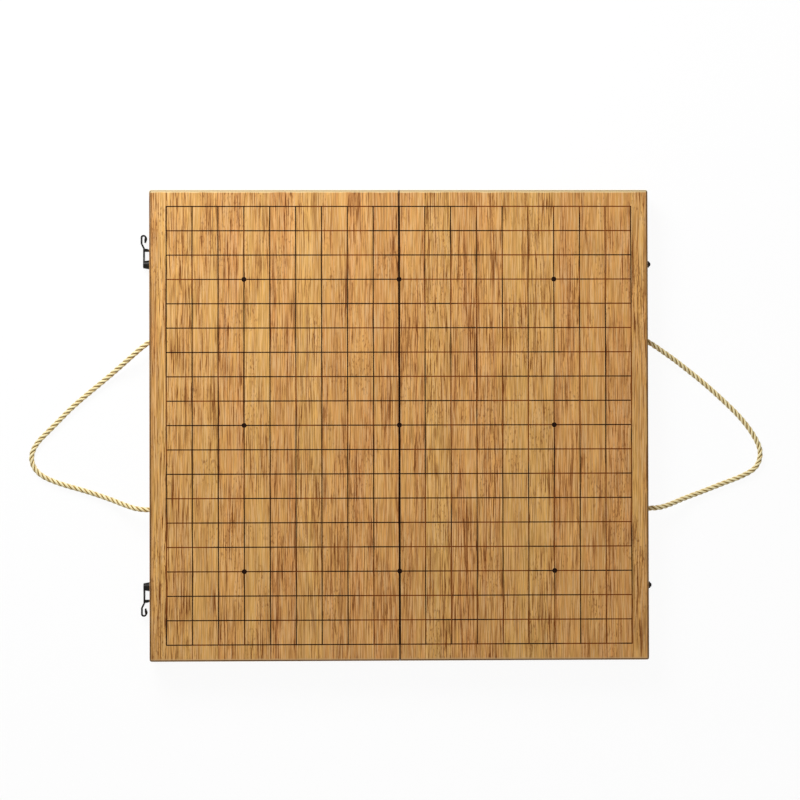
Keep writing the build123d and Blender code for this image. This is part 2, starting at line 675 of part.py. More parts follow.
# Cord handles: a free stretch outside each half, and a stopper knot inside at each end
knot_x = -WALL_THICKNESS - math.sqrt(KNOT_RADIUS**2 - rope_hole_radius**2) - KNOT_CLEARANCE
knot_neck = math.sqrt(KNOT_RADIUS**2 - (ROPE_DIAMETER / 2) ** 2)
for (side_name, side), outward_route in zip(SIDES, (LEFT_ROPE_ROUTE, RIGHT_ROPE_ROUTE)):
    route = [(side * x, y, z) for x, y, z in outward_route]
    radii = bend_radii(route)
    with BuildPart() as rope:
        with BuildLine() as rope_path:
            FilletPolyline(*route, radius=radii)
        rope_length = rope_path.wires()[0].length
        with BuildSketch(Plane(origin=route[0], z_dir=(side, 0, 0))):
            Circle(ROPE_DIAMETER / 2)
        sweep()
    keep(rope, f"{side_name}_rope")
    section = math.pi * ROPE_DIAMETER**2 / 4
    print(f"{side_name}_rope length {rope_length:.1f} mm")
    print("  runs", [round(run, 1) for run in route_lengths(route)])
    print("  arc radii", [round(radius, 1) for radius in radii])
    print(f"  volume {rope.part.volume:.0f}, section times length {section * rope_length:.0f}")

    with BuildPart() as knots:
        for _, end in ENDS:
            hole_plane = outward_plane(side, end * rope_hole_y, rope_hole_z)
            with BuildSketch(hole_plane):
                with BuildLine():
                    Polyline(
                        (knot_x - knot_neck, ROPE_DIAMETER / 2),
                        (knot_x - KNOT_TAIL, ROPE_DIAMETER / 2),
                        (knot_x - KNOT_TAIL, 0),
                        (0, 0),
                        (0, ROPE_DIAMETER / 2),
                        (knot_x + knot_neck, ROPE_DIAMETER / 2),
                    )
                    ThreePointArc(
                        (knot_x + knot_neck, ROPE_DIAMETER / 2),
                        (knot_x, KNOT_RADIUS),
                        (knot_x - knot_neck, ROPE_DIAMETER / 2),
                    )
                make_face()
            revolve(axis=Axis(hole_plane.origin, hole_plane.x_dir))
    keep(knots, f"{side_name}_rope_knots")


def stone_places(side):
    """Centres of the stones in one well: staggered rows, filled layer by layer from the lid up."""
    for layer in range(STONE_LAYERS):
        height = lid_top_z + STONE_GAP + STONE_THICKNESS / 2 + layer * (STONE_THICKNESS + STONE_GAP)
        for row in range(stone_rows):
            for column in range(stone_columns):
                across = (column + (row % 2) / 2) * stone_pitch - stone_span / 2
                along = (row - (stone_rows - 1) / 2) * stone_row_pitch
                yield (side * cavity_middle_x + across, along, height)


# Stones, black in the left well and white in the right well, each with two domes of one sphere's radius
dome_height = (STONE_THICKNESS - STONE_RIM) / 2
dome_radius = ((STONE_DIAMETER / 2) ** 2 + dome_height**2) / (2 * dome_height)
dome_half_way = STONE_THICKNESS / 2 - dome_radius + math.sqrt(dome_radius**2 - (STONE_DIAMETER / 4) ** 2)
for (_, side), colour, count in zip(SIDES, ("black", "white"), (BLACK_STONES, WHITE_STONES)):
    with BuildPart() as one_stone:
        with BuildSketch(Plane.XZ):
            with BuildLine():
                Line((0, -STONE_THICKNESS / 2), (0, STONE_THICKNESS / 2))
                ThreePointArc(
                    (0, STONE_THICKNESS / 2),
                    (STONE_DIAMETER / 4, dome_half_way),
                    (STONE_DIAMETER / 2, STONE_RIM / 2),
                )
                Line((STONE_DIAMETER / 2, STONE_RIM / 2), (STONE_DIAMETER / 2, -STONE_RIM / 2))
                ThreePointArc(
                    (STONE_DIAMETER / 2, -STONE_RIM / 2),
                    (STONE_DIAMETER / 4, -dome_half_way),
                    (0, -STONE_THICKNESS / 2),
                )
            make_face()
        revolve(axis=Axis.Z)
    with BuildPart() as stones:
        with Locations(*list(stone_places(side))[:count]):
            add(one_stone.part)
    keep(stones, f"{colour}_stones")

print(f"board {2 * outer_x:.1f} by {2 * end_y:.1f} mm, top at {top_z:.2f}, rims at {rim_z:.2f}")
print(f"lid travel {lid_travel:.1f}, pivot z {pivot_z:.3f}, hook y {hook_y:.1f}, hinge y {hinge_y:.1f}")
print(f"rope holes y {rope_hole_y:.2f} z {rope_hole_z:.2f}, wells {well_half_y:.2f} to {divider_half_y:.2f}")
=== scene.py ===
"""Folding go set: two hinged bamboo trays with a burnt 19 by 19 grid, cord handles, swing hooks and stones.

Metres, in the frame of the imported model: X across the fold, Y along it and Z up, with the board open on z = 0.
"""

import logging
import math
from dataclasses import dataclass, field
from enum import Enum
from types import SimpleNamespace
from typing import Any, Callable, Sequence

import bmesh
import bpy
import numpy as np
from bpy.types import ID, Material, Mesh, Node, NodeSocket, NodeTree, Object
from mathutils import Euler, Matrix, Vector

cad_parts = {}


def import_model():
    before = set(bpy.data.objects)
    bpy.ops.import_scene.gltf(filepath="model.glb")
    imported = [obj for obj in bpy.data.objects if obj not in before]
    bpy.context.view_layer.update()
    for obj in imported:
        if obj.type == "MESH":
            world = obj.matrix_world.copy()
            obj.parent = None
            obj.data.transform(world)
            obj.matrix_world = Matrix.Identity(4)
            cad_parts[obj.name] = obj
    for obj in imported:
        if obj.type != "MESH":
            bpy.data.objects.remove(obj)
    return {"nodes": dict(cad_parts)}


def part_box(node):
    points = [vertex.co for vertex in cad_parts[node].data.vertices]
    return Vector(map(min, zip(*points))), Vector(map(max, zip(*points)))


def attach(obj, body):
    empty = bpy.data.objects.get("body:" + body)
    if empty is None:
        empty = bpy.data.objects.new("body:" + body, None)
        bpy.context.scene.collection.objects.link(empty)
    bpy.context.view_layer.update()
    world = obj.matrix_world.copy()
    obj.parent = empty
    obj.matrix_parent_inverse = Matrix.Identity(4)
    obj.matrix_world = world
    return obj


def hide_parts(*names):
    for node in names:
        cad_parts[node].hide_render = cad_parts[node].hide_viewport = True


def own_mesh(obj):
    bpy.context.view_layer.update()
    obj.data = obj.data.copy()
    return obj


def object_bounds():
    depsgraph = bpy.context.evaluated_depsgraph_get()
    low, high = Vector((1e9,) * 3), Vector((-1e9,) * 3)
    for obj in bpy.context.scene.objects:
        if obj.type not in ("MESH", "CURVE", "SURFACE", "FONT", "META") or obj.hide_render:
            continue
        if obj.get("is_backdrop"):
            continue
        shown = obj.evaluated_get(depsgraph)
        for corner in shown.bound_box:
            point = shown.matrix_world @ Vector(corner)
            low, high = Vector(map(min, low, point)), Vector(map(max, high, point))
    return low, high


LOG = logging.getLogger("go_set")
MM = 0.001
TURN = 2 * math.pi
TURN_SEED = 11
SAME_PLACE = 1e-9
Point = tuple[float, float, float]
Colour = tuple[float, float, float]
Pieces = dict[str, Object]


def srgb(red: int, green: int, blue: int) -> Colour:
    """Turns a colour of the screen, 0 to 255, into a linear one, 0 to 1."""
    shares = [value / 255 for value in (red, green, blue)]
    return tuple(share / 12.92 if share <= 0.04045 else ((share + 0.055) / 1.055) ** 2.4 for share in shares)


class Place(Enum):
    """A part of the board, with the sign of its coordinate as value."""

    @property
    def word(self) -> str:
        """The part's name, as it stands in the nodes' names."""
        return self.name.lower()

    @property
    def sign(self) -> float:
        """The sign of the part's coordinate."""
        return float(self.value)


class Side(Place):
    """The two halves of the board, by X."""

    LEFT = -1
    RIGHT = 1

    @property
    def body(self) -> str:
        """The body that the half's pieces ride on."""
        return f"{self.word}_half"


class End(Place):
    """The two ends of the fold, by Y."""

    FRONT = -1
    BACK = 1


class Grain(Enum):
    """Which way the bamboo's fibres run, as the turn about Z that brings them onto Y."""

    ALONG_Y = 0.0
    ALONG_X = math.pi / 2


# ---- node trees


def _sign(operation: str) -> Callable[..., "Wire"]:
    """Makes the method behind one sign of arithmetic, which adds a Math node."""
    return lambda self, other=0.0: self.math(operation, other)


class Wire:
    """A node's output, on which arithmetic adds Math nodes."""

    __add__, __sub__, __mul__, __truediv__ = (_sign(word) for word in ("ADD", "SUBTRACT", "MULTIPLY", "DIVIDE"))
    __mod__ = _sign("FLOORED_MODULO")
    __lt__ = _sign("LESS_THAN")
    __gt__ = _sign("GREATER_THAN")
    __abs__ = _sign("ABSOLUTE")
    at_least = _sign("MAXIMUM")

    def __init__(self, graph: "Graph", socket: NodeSocket) -> None:
        """Keeps the graph and the output."""
        self.graph = graph
        self.socket = socket

    def math(self, operation: str, other: Any = 0.0, clamped: bool = False) -> "Wire":
        """Adds a Math node on this and a second value, which a clamped one keeps between 0 and 1."""
        return self.graph.out("ShaderNodeMath", {0: self, 1: other}, operation=operation, use_clamp=clamped)

    def __rsub__(self, other: Any) -> "Wire":
        """Takes this away from a value."""
        return self.graph.out("ShaderNodeMath", {0: other, 1: self}, operation="SUBTRACT")

    def __floordiv__(self, other: Any) -> "Wire":
        """Divides by a value and drops the fraction."""
        return (self / other).math("FLOOR")

    def ease(self, low: Any, high: Any, start: float = 0.0, stop: float = 1.0) -> "Wire":
        """Eases from start to stop as this goes from low to high."""
        ends = {0: self, 1: low, 2: high, 3: start, 4: stop}
        return self.graph.out("ShaderNodeMapRange", ends, interpolation_type="SMOOTHSTEP")

    def apart(self) -> list["Wire"]:
        """Gives the three parts of this vector."""
        return [Wire(self.graph, part) for part in self.graph.add("ShaderNodeSeparateXYZ", {0: self}).outputs]

    def noise(self, scale: Sequence[float], detail: float = 2.0, roughness: float = 0.5) -> "Wire":
        """Reads noise at this place, about 0.3 to 0.7, at a scale for each axis."""
        at = self.graph.out("ShaderNodeVectorMath", {0: self, 1: scale}, operation="MULTIPLY")
        return self.graph.out("ShaderNodeTexNoise", dict(Vector=at, Scale=1.0, Detail=detail, Roughness=roughness))

    def chance(self, seed: float) -> "Wire":
        """Gives a random value, 0 to 1, that stays the same for the same number."""
        return self.graph.out("ShaderNodeTexWhiteNoise", {"W": self + seed}, noise_dimensions="1D")


def snake(name: str) -> str:
    """Gives the word for a socket's name, such as strip_width for Strip Width."""
    return name.lower().replace(" ", "_")


class Graph:
    """A node tree that is filled in with short calls."""

    def __init__(self, tree: NodeTree) -> None:
        """Keeps the tree to fill in."""
        self.tree = tree

    def feed(self, socket: NodeSocket, value: Any) -> None:
        """Links an input, or gives it a value.

        Args:
            socket: The input.
            value: A wire, or a plain value.
        """
        if isinstance(value, Wire):
            self.tree.links.new(value.socket, socket)
        elif socket.type == "RGBA" and len(value) == 3:
            socket.default_value = (*value, 1.0)
        else:
            socket.default_value = value

    def feed_named(self, node: Node, values: dict[str, Any]) -> None:
        """Feeds those inputs of a node that some values are named after.

        Args:
            node: The node.
            values: Values or wires by word, such as strip_width for the input Strip Width.
        """
        for socket in node.inputs:
            if snake(socket.name) in values:
                self.feed(socket, values[snake(socket.name)])

    def add(self, kind: str, inputs: dict[Any, Any] | None = None, **settings: Any) -> Node:
        """Adds a node.

        Args:
            kind: The node's type.
            inputs: Values or wires for its inputs, by name or number.
            settings: The node's own properties.

        Returns:
            The node.
        """
        node = self.tree.nodes.new(kind)
        for name, value in settings.items():
            setattr(node, name, value)
        for key, value in (inputs or {}).items():
            self.feed(node.inputs[key], value)
        return node

    def out(self, kind: str, inputs: dict[Any, Any] | None = None, output: Any = 0, **settings: Any) -> Wire:
        """Adds a node, as add does, for one of its outputs."""
        return Wire(self, self.add(kind, inputs, **settings).outputs[output])

    def group(self, tree: NodeTree, values: dict[str, Any]) -> dict[str, Wire]:
        """Adds a shader group.

        Args:
            tree: The group.
            values: Values or wires by word, which feed the inputs named after them.

        Returns:
            Its outputs by word.
        """
        node = self.add("ShaderNodeGroup", node_tree=tree)
        self.feed_named(node, values)
        return {snake(output.name): Wire(self, output) for output in node.outputs}

    def joined(self, x: Any, y: Any, z: Any) -> Wire:
        """Makes a vector of three parts."""
        return self.out("ShaderNodeCombineXYZ", {0: x, 1: y, 2: z})

    def mix(self, factor: Any, first: Any, second: Any, blend: str = "MIX") -> Wire:
        """Mixes two colours, with a factor of 1 for the second alone."""
        colours = {0: factor, 6: first, 7: second}
        return self.out("ShaderNodeMix", colours, 2, data_type="RGBA", blend_type=blend)

    def shaded(self, colour: Any, share: Wire) -> Wire:
        """Makes a colour lighter or darker by a share."""
        return self.mix(1.0, colour, self.out("ShaderNodeCombineColor", {0: share, 1: share, 2: share}), "MULTIPLY")


def new_group(
    name: str, kind: str, inputs: dict[str, str], outputs: dict[str, str]
) -> tuple[Graph, SimpleNamespace]:
    """Starts a node group whose sockets are named after words, such as Strip Width after strip_width.

    Args:
        name: The group's name.
        kind: Shader or Geometry.
        inputs: The kind of each input, by word.
        outputs: The kind of each output, by word.

    Returns:
        The graph, and its inputs by word.
    """
    tree = bpy.data.node_groups.new(name, f"{kind}NodeTree")
    for in_out, sockets in (("INPUT", inputs), ("OUTPUT", outputs)):
        for word, socket in sockets.items():
            label = word.replace("_", " ").title()
            tree.interface.new_socket(label, in_out=in_out, socket_type=f"NodeSocket{socket}")
    graph = Graph(tree)
    given = graph.add("NodeGroupInput").outputs
    return graph, SimpleNamespace(**{word: Wire(graph, given[number]) for number, word in enumerate(inputs)})


class ShaderGroups:
    """The shader node groups that several finishes use, each built once."""

    SURFACE = {"color": "Color", "roughness": "Float", "height": "Float"}
    STRIP_SEEDS = (3.7, 57.3, 91.1)
    LANE_WANDER = 0.02
    STRIP_OFFSET = 0.7
    # Noise in the wood: how fine it is across, along and through the fibres, its detail and its roughness.
    GRAIN_NOISE = {
        "fibre": ((1300.0, 30.0, 1300.0), 3.0, 0.6),
        "band": ((300.0, 6.0, 300.0), 2.0, 0.6),
        "lines": ((1300.0, 12.0, 1300.0), 1.0, 0.5),
        "dashes": ((1400.0, 42.0, 1400.0), 1.0, 0.5),
        "flecks": ((820.0, 230.0, 820.0), 1.0, 0.5),
        "patch": ((75.0, 12.0, 75.0), 2.0, 0.55),
        "node": ((42.0, 21.0, 42.0), 1.0, 0.5),
    }
    # Noise in metal, before its scale, and in stone: how fine it is each way, its detail and its roughness.
    WORN_NOISE = ((1.0, 1.0, 1.0), 3.0, 0.6)
    PIT_NOISE = ((6.0, 6.0, 6.0), 2.0, 0.6)
    CLOUD_NOISE = ((130.0, 130.0, 130.0), 3.0)
    SPECK_NOISE = ((1800.0, 1800.0, 1800.0), 2.0)
    # How strongly each kind of mark is laid over the wood.
    LONG_STREAK, SHORT_STREAK, SPECKLE, LIGHT_FIBRE, SEAM = 0.84, 0.92, 0.5, 0.42, 0.22

    def __init__(self) -> None:
        """Builds every group."""
        self.bamboo = self._bamboo()
        self.metal = self._metal()
        self.clouding = self._clouding()

    def _bamboo(self) -> NodeTree:
        """Laminated bamboo with its fibres along Y: strips, streaks and nodes.

        Returns:
            The group.
        """
        graph, given = new_group("bamboo_grain", "Shader", dict(
            vector="Vector", strip_width="Float", golden="Color", rosy="Color", streak="Color", light="Color",
            streak_amount="Float",
        ), self.SURFACE)
        x, y, z = given.vector.apart()
        lane = x / given.strip_width + given.vector.noise((0.0, 7.0, 0.0), 1.0) * self.LANE_WANDER
        strip = lane.math("FLOOR")
        tone, streaky, offset = (strip.chance(seed) for seed in self.STRIP_SEEDS)
        grain = graph.joined(x, y + offset * self.STRIP_OFFSET, z)
        fibre, band, lines, dashes, flecks, patch, node = (grain.noise(*how) for how in self.GRAIN_NOISE.values())
        in_patch = patch.ease(0.42, 0.60)
        lively = streaky.ease(0.0, 1.0) * 0.45 + in_patch * 0.7 + 0.18
        lively = lively.math("MULTIPLY", given.streak_amount, clamped=True)
        long_streak = lines.ease(0.60, 0.65) * lively
        short_streak = dashes.ease(0.585, 0.64) * lively
        speckle = flecks.ease(0.58, 0.63) * node.ease(0.52, 0.64).at_least(in_patch * 0.5)
        light = dashes.ease(0.38, 0.46, 1.0, 0.0) * (1.0 - long_streak)
        seam = abs(lane.math("FRACT") - 0.5).ease(0.488, 0.5)
        rosy = tone.ease(0.2, 0.8) * 0.45 + in_patch * 0.25
        rosy = rosy.math("ADD", band.ease(0.38, 0.62, -0.12, 0.32), clamped=True)
        colour = graph.mix(rosy, given.golden, given.rosy)
        colour = graph.shaded(colour, band.ease(0.3, 0.7, 1.06, 0.92))
        colour = graph.shaded(colour, fibre.ease(0.36, 0.64, 0.80, 1.18))
        for mark, strength, paint in (
            (long_streak, self.LONG_STREAK, given.streak),
            (short_streak, self.SHORT_STREAK, given.streak),
            (speckle, self.SPECKLE, given.streak),
            (light, self.LIGHT_FIBRE, given.light),
            (seam, self.SEAM, given.streak),
        ):
            colour = graph.mix(mark * strength, colour, paint)
        hollow = (short_streak * 0.6).at_least(seam)
        roughness = fibre.ease(0.3, 0.7, 0.40, 0.52) + hollow * 0.1
        graph.add("NodeGroupOutput", {"Color": colour, "Roughness": roughness, "Height": fibre - hollow})
        return graph.tree

    def _metal(self) -> NodeTree:
        """Cast metal with a finish that is worn thin and pitted in places.

        Returns:
            The group.
        """
        graph, given = new_group("aged_metal", "Shader", dict(
            vector="Vector", scale="Float", finish="Color", bare="Color", wear="Float", gloss="Float"
        ), self.SURFACE)
        at = graph.out("ShaderNodeVectorMath", {0: given.vector, "Scale": given.scale}, operation="SCALE")
        patches = at.noise(*self.WORN_NOISE)
        pits = at.noise(*self.PIT_NOISE)
        graph.add("NodeGroupOutput", {
            "Color": graph.mix(patches.ease(0.52, 0.7) * given.wear, given.finish, given.bare),
            "Roughness": given.gloss + pits.ease(0.3, 0.7, -0.06, 0.12),
            "Height": pits + patches * 2.0,
        })
        return graph.tree

    def _clouding(self) -> NodeTree:
        """Faint clouds and specks inside a polished stone.

        Returns:
            The group.
        """
        graph, given = new_group(
            "clouding", "Shader", dict(vector="Vector", body="Color", cloud="Color", gloss="Float"), self.SURFACE
        )
        clouds = given.vector.noise(*self.CLOUD_NOISE)
        specks = given.vector.noise(*self.SPECK_NOISE)
        mixed = graph.mix(clouds.ease(0.35, 0.7), given.body, given.cloud)
        graph.add("NodeGroupOutput", {
            "Color": graph.mix(specks.ease(0.6, 0.75, 0.0, 0.3), mixed, given.cloud),
            "Roughness": given.gloss + specks.ease(0.3, 0.7, -0.04, 0.08),
            "Height": specks,
        })
        return graph.tree


# ---- finishes


class Surface:
    """A material with a Principled shader, read at Object coordinates."""

    def __init__(self, name: str) -> None:
        """Starts the material.

        Args:
            name: Its name.
        """
        self.material = bpy.data.materials.new(name)
        self.material.use_nodes = True
        self.graph = Graph(self.material.node_tree)
        self.place = self.graph.out("ShaderNodeTexCoord", output="Object")

    def finished(self, finish: Any, color: Wire, roughness: Wire, height: Wire | None = None) -> Material:
        """Sets the shader, and bumps the surface where a height is given.

        Args:
            finish: The finish, whose fields feed the shader's inputs that they are named after.
            color: The surface's colour.
            roughness: Its roughness.
            height: Its height, if it has bumps.

        Returns:
            The material.
        """
        looks = {**vars(finish), "base_color": color, "roughness": roughness}
        if height is not None:
            bump = dict(Height=height, Strength=finish.bump_strength, Distance=finish.bump_step)
            looks["normal"] = self.graph.out("ShaderNodeBump", bump)
        self.graph.feed_named(self.material.node_tree.nodes["Principled BSDF"], looks)
        return self.material


@dataclass(frozen=True)
class BambooFinish:
    """Laminated bamboo under satin lacquer."""

    strip_width: float = 0.0237
    golden: Colour = srgb(208, 159, 88)
    rosy: Colour = srgb(204, 143, 81)
    streak: Colour = srgb(104, 50, 0)
    light: Colour = srgb(233, 194, 142)
    streak_amount: float = 1.0
    specular_ior_level: float = 0.16
    coat_weight: float = 0.04
    coat_roughness: float = 0.35
    bump_strength: float = 0.25
    bump_step: float = 0.12 * MM
    # Painted light and shade on the panel's rounded top edges, each a colour and its strength: painted shade on the
    # outer side, painted light on the front and a painted highlight on the back.
    side_edge: tuple[Colour, float] = (srgb(120, 76, 34), 0.4)
    front_edge: tuple[Colour, float] = (srgb(196, 158, 112), 0.7)
    back_edge: tuple[Colour, float] = (srgb(232, 208, 156), 0.85)
    edge_width: float = 3.1 * MM
    edge_depth: float = 1.6 * MM
    edge_fade: float = 1.0 * MM
    edge_noise: Point = (90.0, 90.0, 400.0)
    edge_solid: float = 0.6
    burn: Colour = srgb(34, 14, 3)
    burn_fade: float = 0.05 * MM
    scorch: Colour = srgb(46, 18, 3)
    scorch_reach: float = 0.74 * MM
    scorch_depth: tuple[float, float] = (0.4 * MM, 0.3 * MM)
    smoke_noise: Point = (60.0, 60.0, 0.0)
    smoke_strength: tuple[float, float] = (0.05, 0.5)
    # The fold's edges: painted shade in the gap between the halves, which also carries the burnt fold line out to the
    # board's edges.
    gap_burn: float = 1.0 * MM
    gap_burn_strength: float = 0.9

    def dress(
        self, groups: ShaderGroups, node: Object, grain: Grain, burnt_below: float | None = None
    ) -> None:
        """Gives one wooden piece its own material.

        Args:
            groups: The shader groups.
            node: The piece.
            grain: Which way its fibres run.
            burnt_below: Where the burnt grooves' walls begin, or None.
        """
        surface = Surface(f"bamboo_{node.name}")
        turned = dict(Vector=surface.place, Rotation=(0.0, 0.0, grain.value))
        along_grain = surface.graph.out("ShaderNodeMapping", turned)
        wood = surface.graph.group(groups.bamboo, {**vars(self), "vector": along_grain})
        if burnt_below is not None:
            # Painted light and shade on the panel's rounded edges, then the burnt lines.
            wood["color"] = self._edged(surface, node, wood["color"])
            wood["color"] = self._scorched(surface, wood["color"], burnt_below)
        put_material(node, surface.finished(self, **wood))

    def _edged(self, surface: Surface, node: Object, colour: Wire) -> Wire:
        """Paints light and shade on a playing panel's rounded top edges: a painted highlight on the back edge,
        painted light on the front edge and painted shade on the outer side edge.

        Args:
            surface: The panel's surface.
            node: The panel.
            colour: The wood's colour.

        Returns:
            The colour with the painted light and shade on its edges.
        """
        low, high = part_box(node.name)
        x, y, z = surface.place.apart()
        width = surface.place.noise(self.edge_noise, 3.0).ease(0.3, 0.7, 0.9, 1.1) * self.edge_width
        bottom = high.z - self.edge_depth
        on_top = z.ease(bottom - self.edge_fade, bottom)
        outer_gap = x - low.x if node.name.startswith(Side.LEFT.word) else high.x - x
        # Painted shade on the outer side edge, painted light on the front edge and a painted highlight on the back
        # edge.
        for gap, (paint, strength) in (
            (outer_gap, self.side_edge), (y - low.y, self.front_edge), (high.y - y, self.back_edge)
        ):
            near = gap.ease(width * self.edge_solid, width, 1.0, 0.0)
            colour = surface.graph.mix(near * on_top * strength, colour, paint)
        return colour

    def _scorched(self, surface: Surface, colour: Wire, burnt_below: float) -> Wire:
        """Burns the grooves' walls, darkens the fold's edges with painted shade in the gap that also carries the
        burnt fold line out to the board's edges, and browns the wood beside every line.

        Args:
            surface: The panel's surface.
            colour: The wood's colour.
            burnt_below: Where the grooves' walls begin.

        Returns:
            The colour with the burnt grooves.
        """
        x, y, depth = surface.place.apart()
        mix, grid = surface.graph.mix, BurntGrid
        reach_x, reach_y = ((grid.lines - 1) / 2 * pitch for pitch in (grid.pitch_x, grid.pitch_y))
        beside = []
        for across, along, pitch, reach, last_line in (
            (x, y, grid.pitch_x, reach_y, reach_x), (y, x, grid.pitch_y, reach_x, reach_y)
        ):
            gap = abs((across / pitch + 0.5).math("FRACT") - 0.5) * pitch
            if across is x:
                gap = gap - (abs(x) < pitch / 2) * ((grid.fold_line_width - grid.line_width) / 2)
            near = gap.ease(grid.line_width / 2, self.scorch_reach, 1.0, 0.0)
            within = abs(along) < reach + grid.line_width / 2
            beside.append(near * within * (abs(across) < last_line + grid.line_width))
        smoky = surface.place.noise(self.smoke_noise, 3.0).ease(0.35, 0.65, *self.smoke_strength)
        inside = depth.ease(*(burnt_below - below for below in self.scorch_depth))
        colour = mix(beside[0].at_least(beside[1]) * smoky * inside, colour, self.scorch)
        # Painted shade in the fold gap, which also carries the burnt fold line out to the board's edges.
        at_gap = abs(x).ease(self.gap_burn / 2, self.gap_burn, 1.0, 0.0)
        near_top = depth.ease(burnt_below - 2 * self.edge_depth, burnt_below - self.edge_depth)
        colour = mix(at_gap * near_top * self.gap_burn_strength, colour, self.burn)
        return mix(depth.ease(burnt_below - self.burn_fade, burnt_below, 1.0, 0.0) * inside, colour, self.burn)


@dataclass(frozen=True)
class BurnFinish:
    """Lines burnt dark brown, unevenly. The fold's line and the star points never fade."""

    dark: Colour = srgb(26, 8, 0)
    faint: Colour = srgb(122, 62, 18)
    first_fading_line: float = 100.5
    stretch_noise: Point = (13.0, 13.0, 3.7)
    grain_noise: Point = (1500.0, 160.0, 0.0)
    fading: tuple[float, float] = (0.47, 0.58)
    weaker_between: tuple[float, float] = (-0.17, 0.2)
    weaker_by: tuple[float, float] = (-0.08, 0.03)
    specular_ior_level: float = 0.08

    def material(self) -> Material:
        """Builds the material.

        Returns:
            The material.
        """
        surface = Surface("burnt_line")
        number = surface.graph.out("ShaderNodeAttribute", output="Fac", attribute_name="line")
        x, y, _ = surface.place.apart()
        stretch = surface.graph.joined(x, y, number).noise(self.stretch_noise, 2.0, 0.55)
        weaker = stretch + x.ease(*self.weaker_between, *self.weaker_by)
        grainy = surface.place.noise(self.grain_noise, 2.0)
        faded = weaker.ease(*self.fading) * grainy.ease(0.3, 0.6, 0.7, 1.0) * (number > self.first_fading_line)
        colour = surface.graph.mix(faded, self.dark, self.faint)
        return surface.finished(self, colour, grainy.ease(0.3, 0.7, 0.6, 0.8))


@dataclass(frozen=True, kw_only=True)
class GroupFinish:
    """A finish whose looks come from one shader group, which its own fields feed."""

    name: str
    gloss: float
    bump_strength: float
    bump_step: float

    def material(self, group: NodeTree) -> Material:
        """Builds the material with its shader group."""
        surface = Surface(self.name)
        return surface.finished(self, **surface.graph.group(group, {**vars(self), "vector": surface.place}))


@dataclass(frozen=True, kw_only=True)
class MetalFinish(GroupFinish):
    """Cast or stamped metal with an aged finish."""

    finish: Colour
    bare: Colour
    wear: float
    scale: float
    metallic: float
    coat_weight: float
    coat_roughness: float = 0.12
    specular_ior_level: float = 0.5
    bump_strength: float = 0.2
    bump_step: float = 0.06 * MM


@dataclass(frozen=True, kw_only=True)
class StoneFinish(GroupFinish):
    """Polished stone with faint clouds in it."""

    body: Colour
    cloud: Colour
    bump_strength: float = 0.1
    bump_step: float = 0.03 * MM


@dataclass(frozen=True)
class CordFinish:
    """Cream and gold cord, with painted shade in the hollows between its strands and its yarns, and cream on the
    strands' crowns that is partly the cord's own colour and partly a painted highlight.
    """

    # hollow is painted shade, laid where the strands and yarns sink; the cream is the cord's pale colour with a
    # painted highlight on the crowns.
    hollow: Colour = srgb(74, 48, 10)
    gold: Colour = srgb(200, 166, 88)
    cream: Colour = srgb(252, 240, 190)
    sheen_weight: float = 0.3
    sheen_roughness: float = 0.4
    fibre_noise: Point = (46.0, 900.0, 0.0)
    uneven_noise: Point = (2.0, 60.0, 0.0)
    bump_strength: float = 0.5
    bump_step: float = 0.1 * MM

    def material(self) -> Material:
        """Builds the material, which reads the cord's own crown and yarn attributes.

        Returns:
            The material.
        """
        surface = Surface("twisted_cord")
        graph = surface.graph
        crown = graph.out("ShaderNodeAttribute", output="Fac", attribute_name="crown")
        yarn = graph.out("ShaderNodeAttribute", output="Fac", attribute_name="yarn")
        around = graph.out("ShaderNodeUVMap", uv_map="strand")
        fibre = around.noise(self.fibre_noise, 3.0, 0.65)
        uneven = around.noise(self.uneven_noise, 2.0)
        # Painted shade and highlight: the hollow colour where the surface lies near the rope's axis, between the
        # strands, and cream on the crowns, partly the cord's own colour and partly a painted highlight.
        colour = graph.mix(crown.ease(0.62, 0.80), self.hollow, self.gold)
        for share, paint in (
            (crown.ease(0.78, 0.94), self.cream),
            (uneven.ease(0.4, 0.65, 0.0, 0.35), self.gold),
            # Painted shade in the grooves between the yarns.
            (yarn.ease(0.0, 0.5, 0.45, 0.0), self.hollow),
            (fibre.ease(0.5, 0.72, 0.0, 0.28), self.hollow),
        ):
            colour = graph.mix(share, colour, paint)
        return surface.finished(self, colour, fibre.ease(0.3, 0.7, 0.5, 0.75), fibre)


# ---- pieces


def put_material(piece: Object, material: Material) -> None:
    """Gives a piece one material in place of all that it has.

    Args:
        piece: The piece.
        material: The material.
    """
    slots = piece.data.materials
    for number in range(len(slots)):
        slots[number] = material
    if not len(slots):
        slots.append(material)


def new_piece(name: str, data: ID) -> Object:
    """Puts a mesh, a curve, a lamp or a camera into the scene.

    Args:
        name: The object's name.
        data: The mesh or other data.

    Returns:
        The object.
    """
    piece = bpy.data.objects.new(name, data)
    bpy.context.scene.collection.objects.link(piece)
    return piece


def plain_mesh(piece: Object) -> Mesh:
    """Makes a mesh of a piece as its curve or modifiers show it."""
    shown = bpy.context.evaluated_depsgraph_get()
    return bpy.data.meshes.new_from_object(piece.evaluated_get(shown), depsgraph=shown)


def made_by_nodes(piece: Object, tree: NodeTree, values: dict[str, Any]) -> None:
    """Runs a Geometry Nodes tree on a piece once and keeps the plain mesh that it gives.

    Args:
        piece: The piece, whose own mesh is the tree's Geometry input.
        tree: The tree.
        values: Values by word, which feed the tree's inputs named after them.
    """
    modifier = piece.modifiers.new(tree.name, "NODES")
    modifier.node_group = tree
    for item in tree.interface.items_tree:
        if item.in_out == "INPUT" and snake(item.name) in values:
            modifier[item.identifier] = values[snake(item.name)]
    mesh = plain_mesh(piece)
    piece.modifiers.remove(modifier)
    piece.data = mesh


